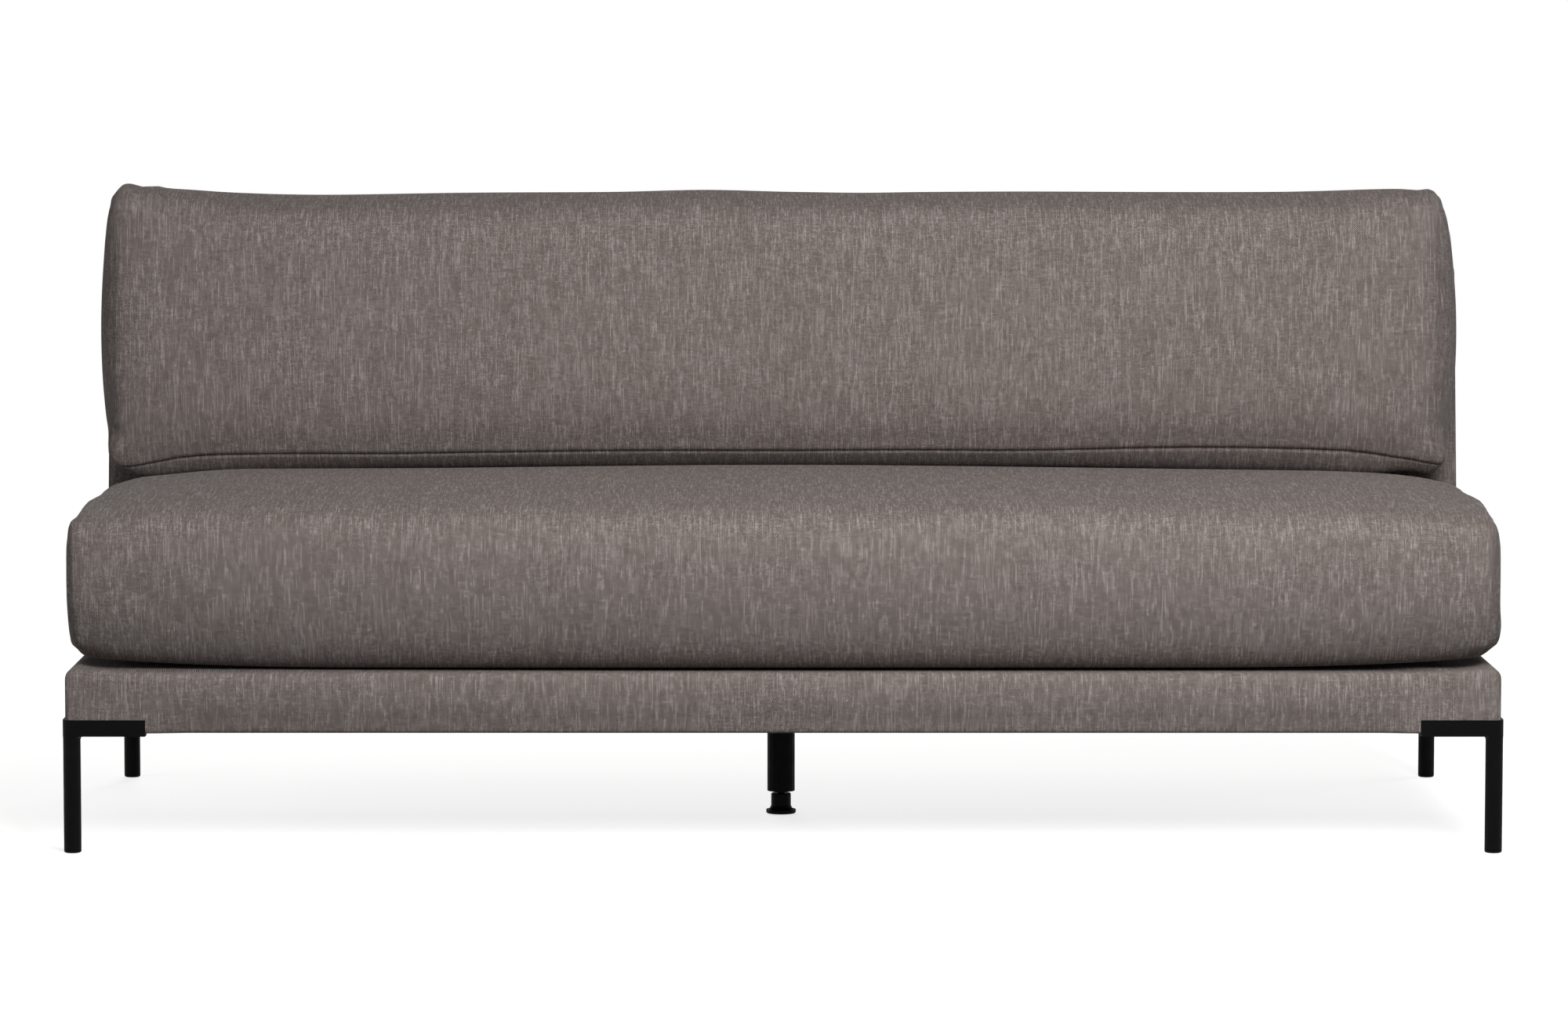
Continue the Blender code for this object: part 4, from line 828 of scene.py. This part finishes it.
def build_dust_cover(cloth):
    """The dust cover under the base: thin cloth stretched to the turned-under edge, cut off at the legs.

    Each point lies between the hole round the centre leg and the outline, and sags by a half sine between
    them, by more or less along a wandering wave.
    """
    cut_x, cut_y = DUST_X - DUST_CUT, DUST_Y - DUST_CUT
    corners = np.array([(cut_x, -DUST_Y), (DUST_X, -cut_y), (DUST_X, cut_y), (cut_x, DUST_Y)])
    corners = np.concatenate([corners, -corners])
    steps = np.linspace(0, 1, DUST_STEPS[0], endpoint=False)[None, :, None]
    following = np.roll(corners, -1, axis=0)
    outline = (corners[:, None] * (1 - steps) + following[:, None] * steps).reshape(-1, 2)
    hole = DUST_HOLE * outline / np.linalg.norm(outline, axis=1, keepdims=True)
    out = np.linspace(0, 1, DUST_STEPS[1])[:, None, None]
    flat = (1 - out) * hole + out * outline
    wave = ripple(flat[:, :, 0], DUST_WAVE, DUST_PHASE)
    sag = DUST_SAG * np.sin(np.pi * out[:, :, 0]) * (1 + 0.5 * wave)
    points = np.concatenate([flat, (DUST_LEVEL - sag)[:, :, None]], axis=2).reshape(-1, 3)
    index = with_first(np.arange(len(points)).reshape(len(out), -1))
    made = piece("dust_cover_cloth", points, quads(index), None, cloth, ("dust_cover",))
    thick = made.modifiers.new("thickness", "SOLIDIFY")
    thick.thickness = DUST_THICKNESS
    thick.offset = 0.0


# Stage


def build_camera():
    """The camera, where the photograph was taken from."""
    scene = bpy.context.scene
    scene.view_settings.view_transform = "Standard"
    lens = bpy.data.cameras.new("camera")
    lens.sensor_width = SENSOR
    lens.lens = FOCAL_PX / PHOTO_WIDTH * SENSOR
    lens.shift_x = (PHOTO_WIDTH / 2 - AXIS_PX) / PHOTO_WIDTH
    lens.clip_end = 100.0
    camera = bpy.data.objects.new("camera", lens)
    camera.location = CAMERA_PLACE
    camera.rotation_euler = (math.pi / 2 - CAMERA_PITCH, 0, 0)
    scene.collection.objects.link(camera)
    scene.camera = camera


def build_lamps():
    """Softboxes, each turned to its aim and out of sight."""
    for name, place, aim, size, power in LAMPS:
        lamp = bpy.data.lights.new(name, "AREA")
        lamp.shape = "SQUARE"
        lamp.size = size
        lamp.energy = power
        softbox = bpy.data.objects.new(name, lamp)
        softbox.location = place
        x, y, z = np.array(aim) - np.array(place)
        softbox.rotation_euler = (math.atan2(math.hypot(x, y), -z), 0, math.atan2(-x, y))
        softbox.visible_camera = False
        softbox.visible_glossy = False
        bpy.context.scene.collection.objects.link(softbox)


def build_surroundings():
    """White surroundings, which light the sofa only a little."""
    world = bpy.data.worlds.new("surroundings")
    bpy.context.scene.world = world
    world.use_nodes = True
    tree = world.node_tree
    tree.nodes.clear()
    level = add_node(tree, "MapRange", None, Value=seen_rays(tree), To_Min=AMBIENT, To_Max=1.0).outputs[0]
    background = add_node(tree, "Background", None, Color=WHITE, Strength=level)
    add_node(tree, "OutputWorld", None, Surface=background.outputs[0])


def build_floor():
    """A pale floor that keeps the shadow, and fades into the white surroundings away from the sofa.

    It glows a little to those rays that see white. Others meet a darker floor, which bounces less light.
    """
    half = FLOOR_SIZE / 2
    mesh = bpy.data.meshes.new("floor")
    corners = [(-half, -half, 0), (half, -half, 0), (half, half, 0), (-half, half, 0)]
    mesh.from_pydata(corners, [], [(0, 1, 2, 3)])
    floor = bpy.data.objects.new("floor", mesh)
    bpy.context.scene.collection.objects.link(floor)
    pale = bpy.data.materials.new("pale_floor")
    pale.use_nodes = True
    tree = pale.node_tree
    tree.nodes.clear()
    place = add_node(tree, "TexCoord").outputs["Object"]
    away = add_node(tree, "VectorMath", {"operation": "LENGTH"}, Vector=place).outputs["Value"]
    fade = add_node(tree, "MapRange", {"interpolation_type": "SMOOTHSTEP"}, Value=away, From_Min=FLOOR_NEAR,
                    From_Max=FLOOR_FAR).outputs[0]
    near = add_node(tree, "BsdfDiffuse", None, Color=linear(FLOOR_COLOUR))
    glow = add_node(tree, "Emission", None, Color=WHITE, Strength=FLOOR_GLOW)
    lit = add_node(tree, "AddShader", None, i0=near.outputs[0], i1=glow.outputs[0])
    white = add_node(tree, "Emission", None, Color=WHITE, Strength=1.0)
    shown = add_node(tree, "MixShader", None, i0=fade, i1=lit.outputs[0], i2=white.outputs[0])
    bounce = add_node(tree, "BsdfDiffuse", None, Color=linear(BOUNCE_COLOUR))
    surface = add_node(tree, "MixShader", None, i0=seen_rays(tree), i1=bounce.outputs[0], i2=shown.outputs[0])
    add_node(tree, "OutputMaterial", None, Surface=surface.outputs[0])
    mesh.materials.append(pale)


def dress_solids():
    """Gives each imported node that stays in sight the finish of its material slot."""
    finishes = {
        "powder_coat": grained("black_powder_coat", ("080808", "0F0F0F"), 0.0016, 0.58, 0.00012, 0.06),
        "nylon": grained("moulded_nylon", ("060606", "0B0B0B"), 0.0030, 0.50, 0.00005, 0.05),
        "steel": grained("zinc_plate", ("9A9CA0", "B4B6B9"), 0.0020, 0.36, 0.00003, 0.5, 1.0),
        "pine": timber("planed_pine", ("D6B584", "B08A58"), 0.006, 0.0015, 0.62),
        "plywood": timber("birch_plywood", ("D0B48A", "B4946A"), 0.004, 0.0012, 0.66),
        "fibreboard": grained("hardboard", ("7C5C3C", "8F6E4B"), 0.0025, 0.72, 0.00008, 0.3),
        "webbing": narrow_fabric("elastic_webbing", ("2A2A2C", "4A4A4E"), 0.0032),
        "dust_cloth": grained("spunbond_cloth", ("19191B", "28282A"), 0.0022, 0.92, 0.00010, 0.2),
        "zip_tape": narrow_fabric("zip_tape", ("57504A", "6F675F"), 0.0016),
        "weave": woven_upholstery(),
        "foam": grained("cut_foam", ("D8CFB4", "E6DFC8"), 0.0018, 0.95, 0.00020, 0.2),
        "wadding": grained("fibre_wadding", ("E2E2DF", "EDEDEA"), 0.0040, 1.0, 0.00040, 0.1),
    }
    for part in frame["record"]["subparts"]:
        solid = frame["nodes"][part["node"]]
        solid.data.materials.clear()
        solid.data.materials.append(finishes[part["material_slot"]])
    return finishes


build_camera()
build_lamps()
build_surroundings()
build_floor()
finishes = dress_solids()
build_seat(finishes["weave"])
build_back_cushion(finishes["weave"])
build_base(finishes["weave"])
build_back_frame(finishes["weave"])
build_dust_cover(finishes["dust_cloth"])
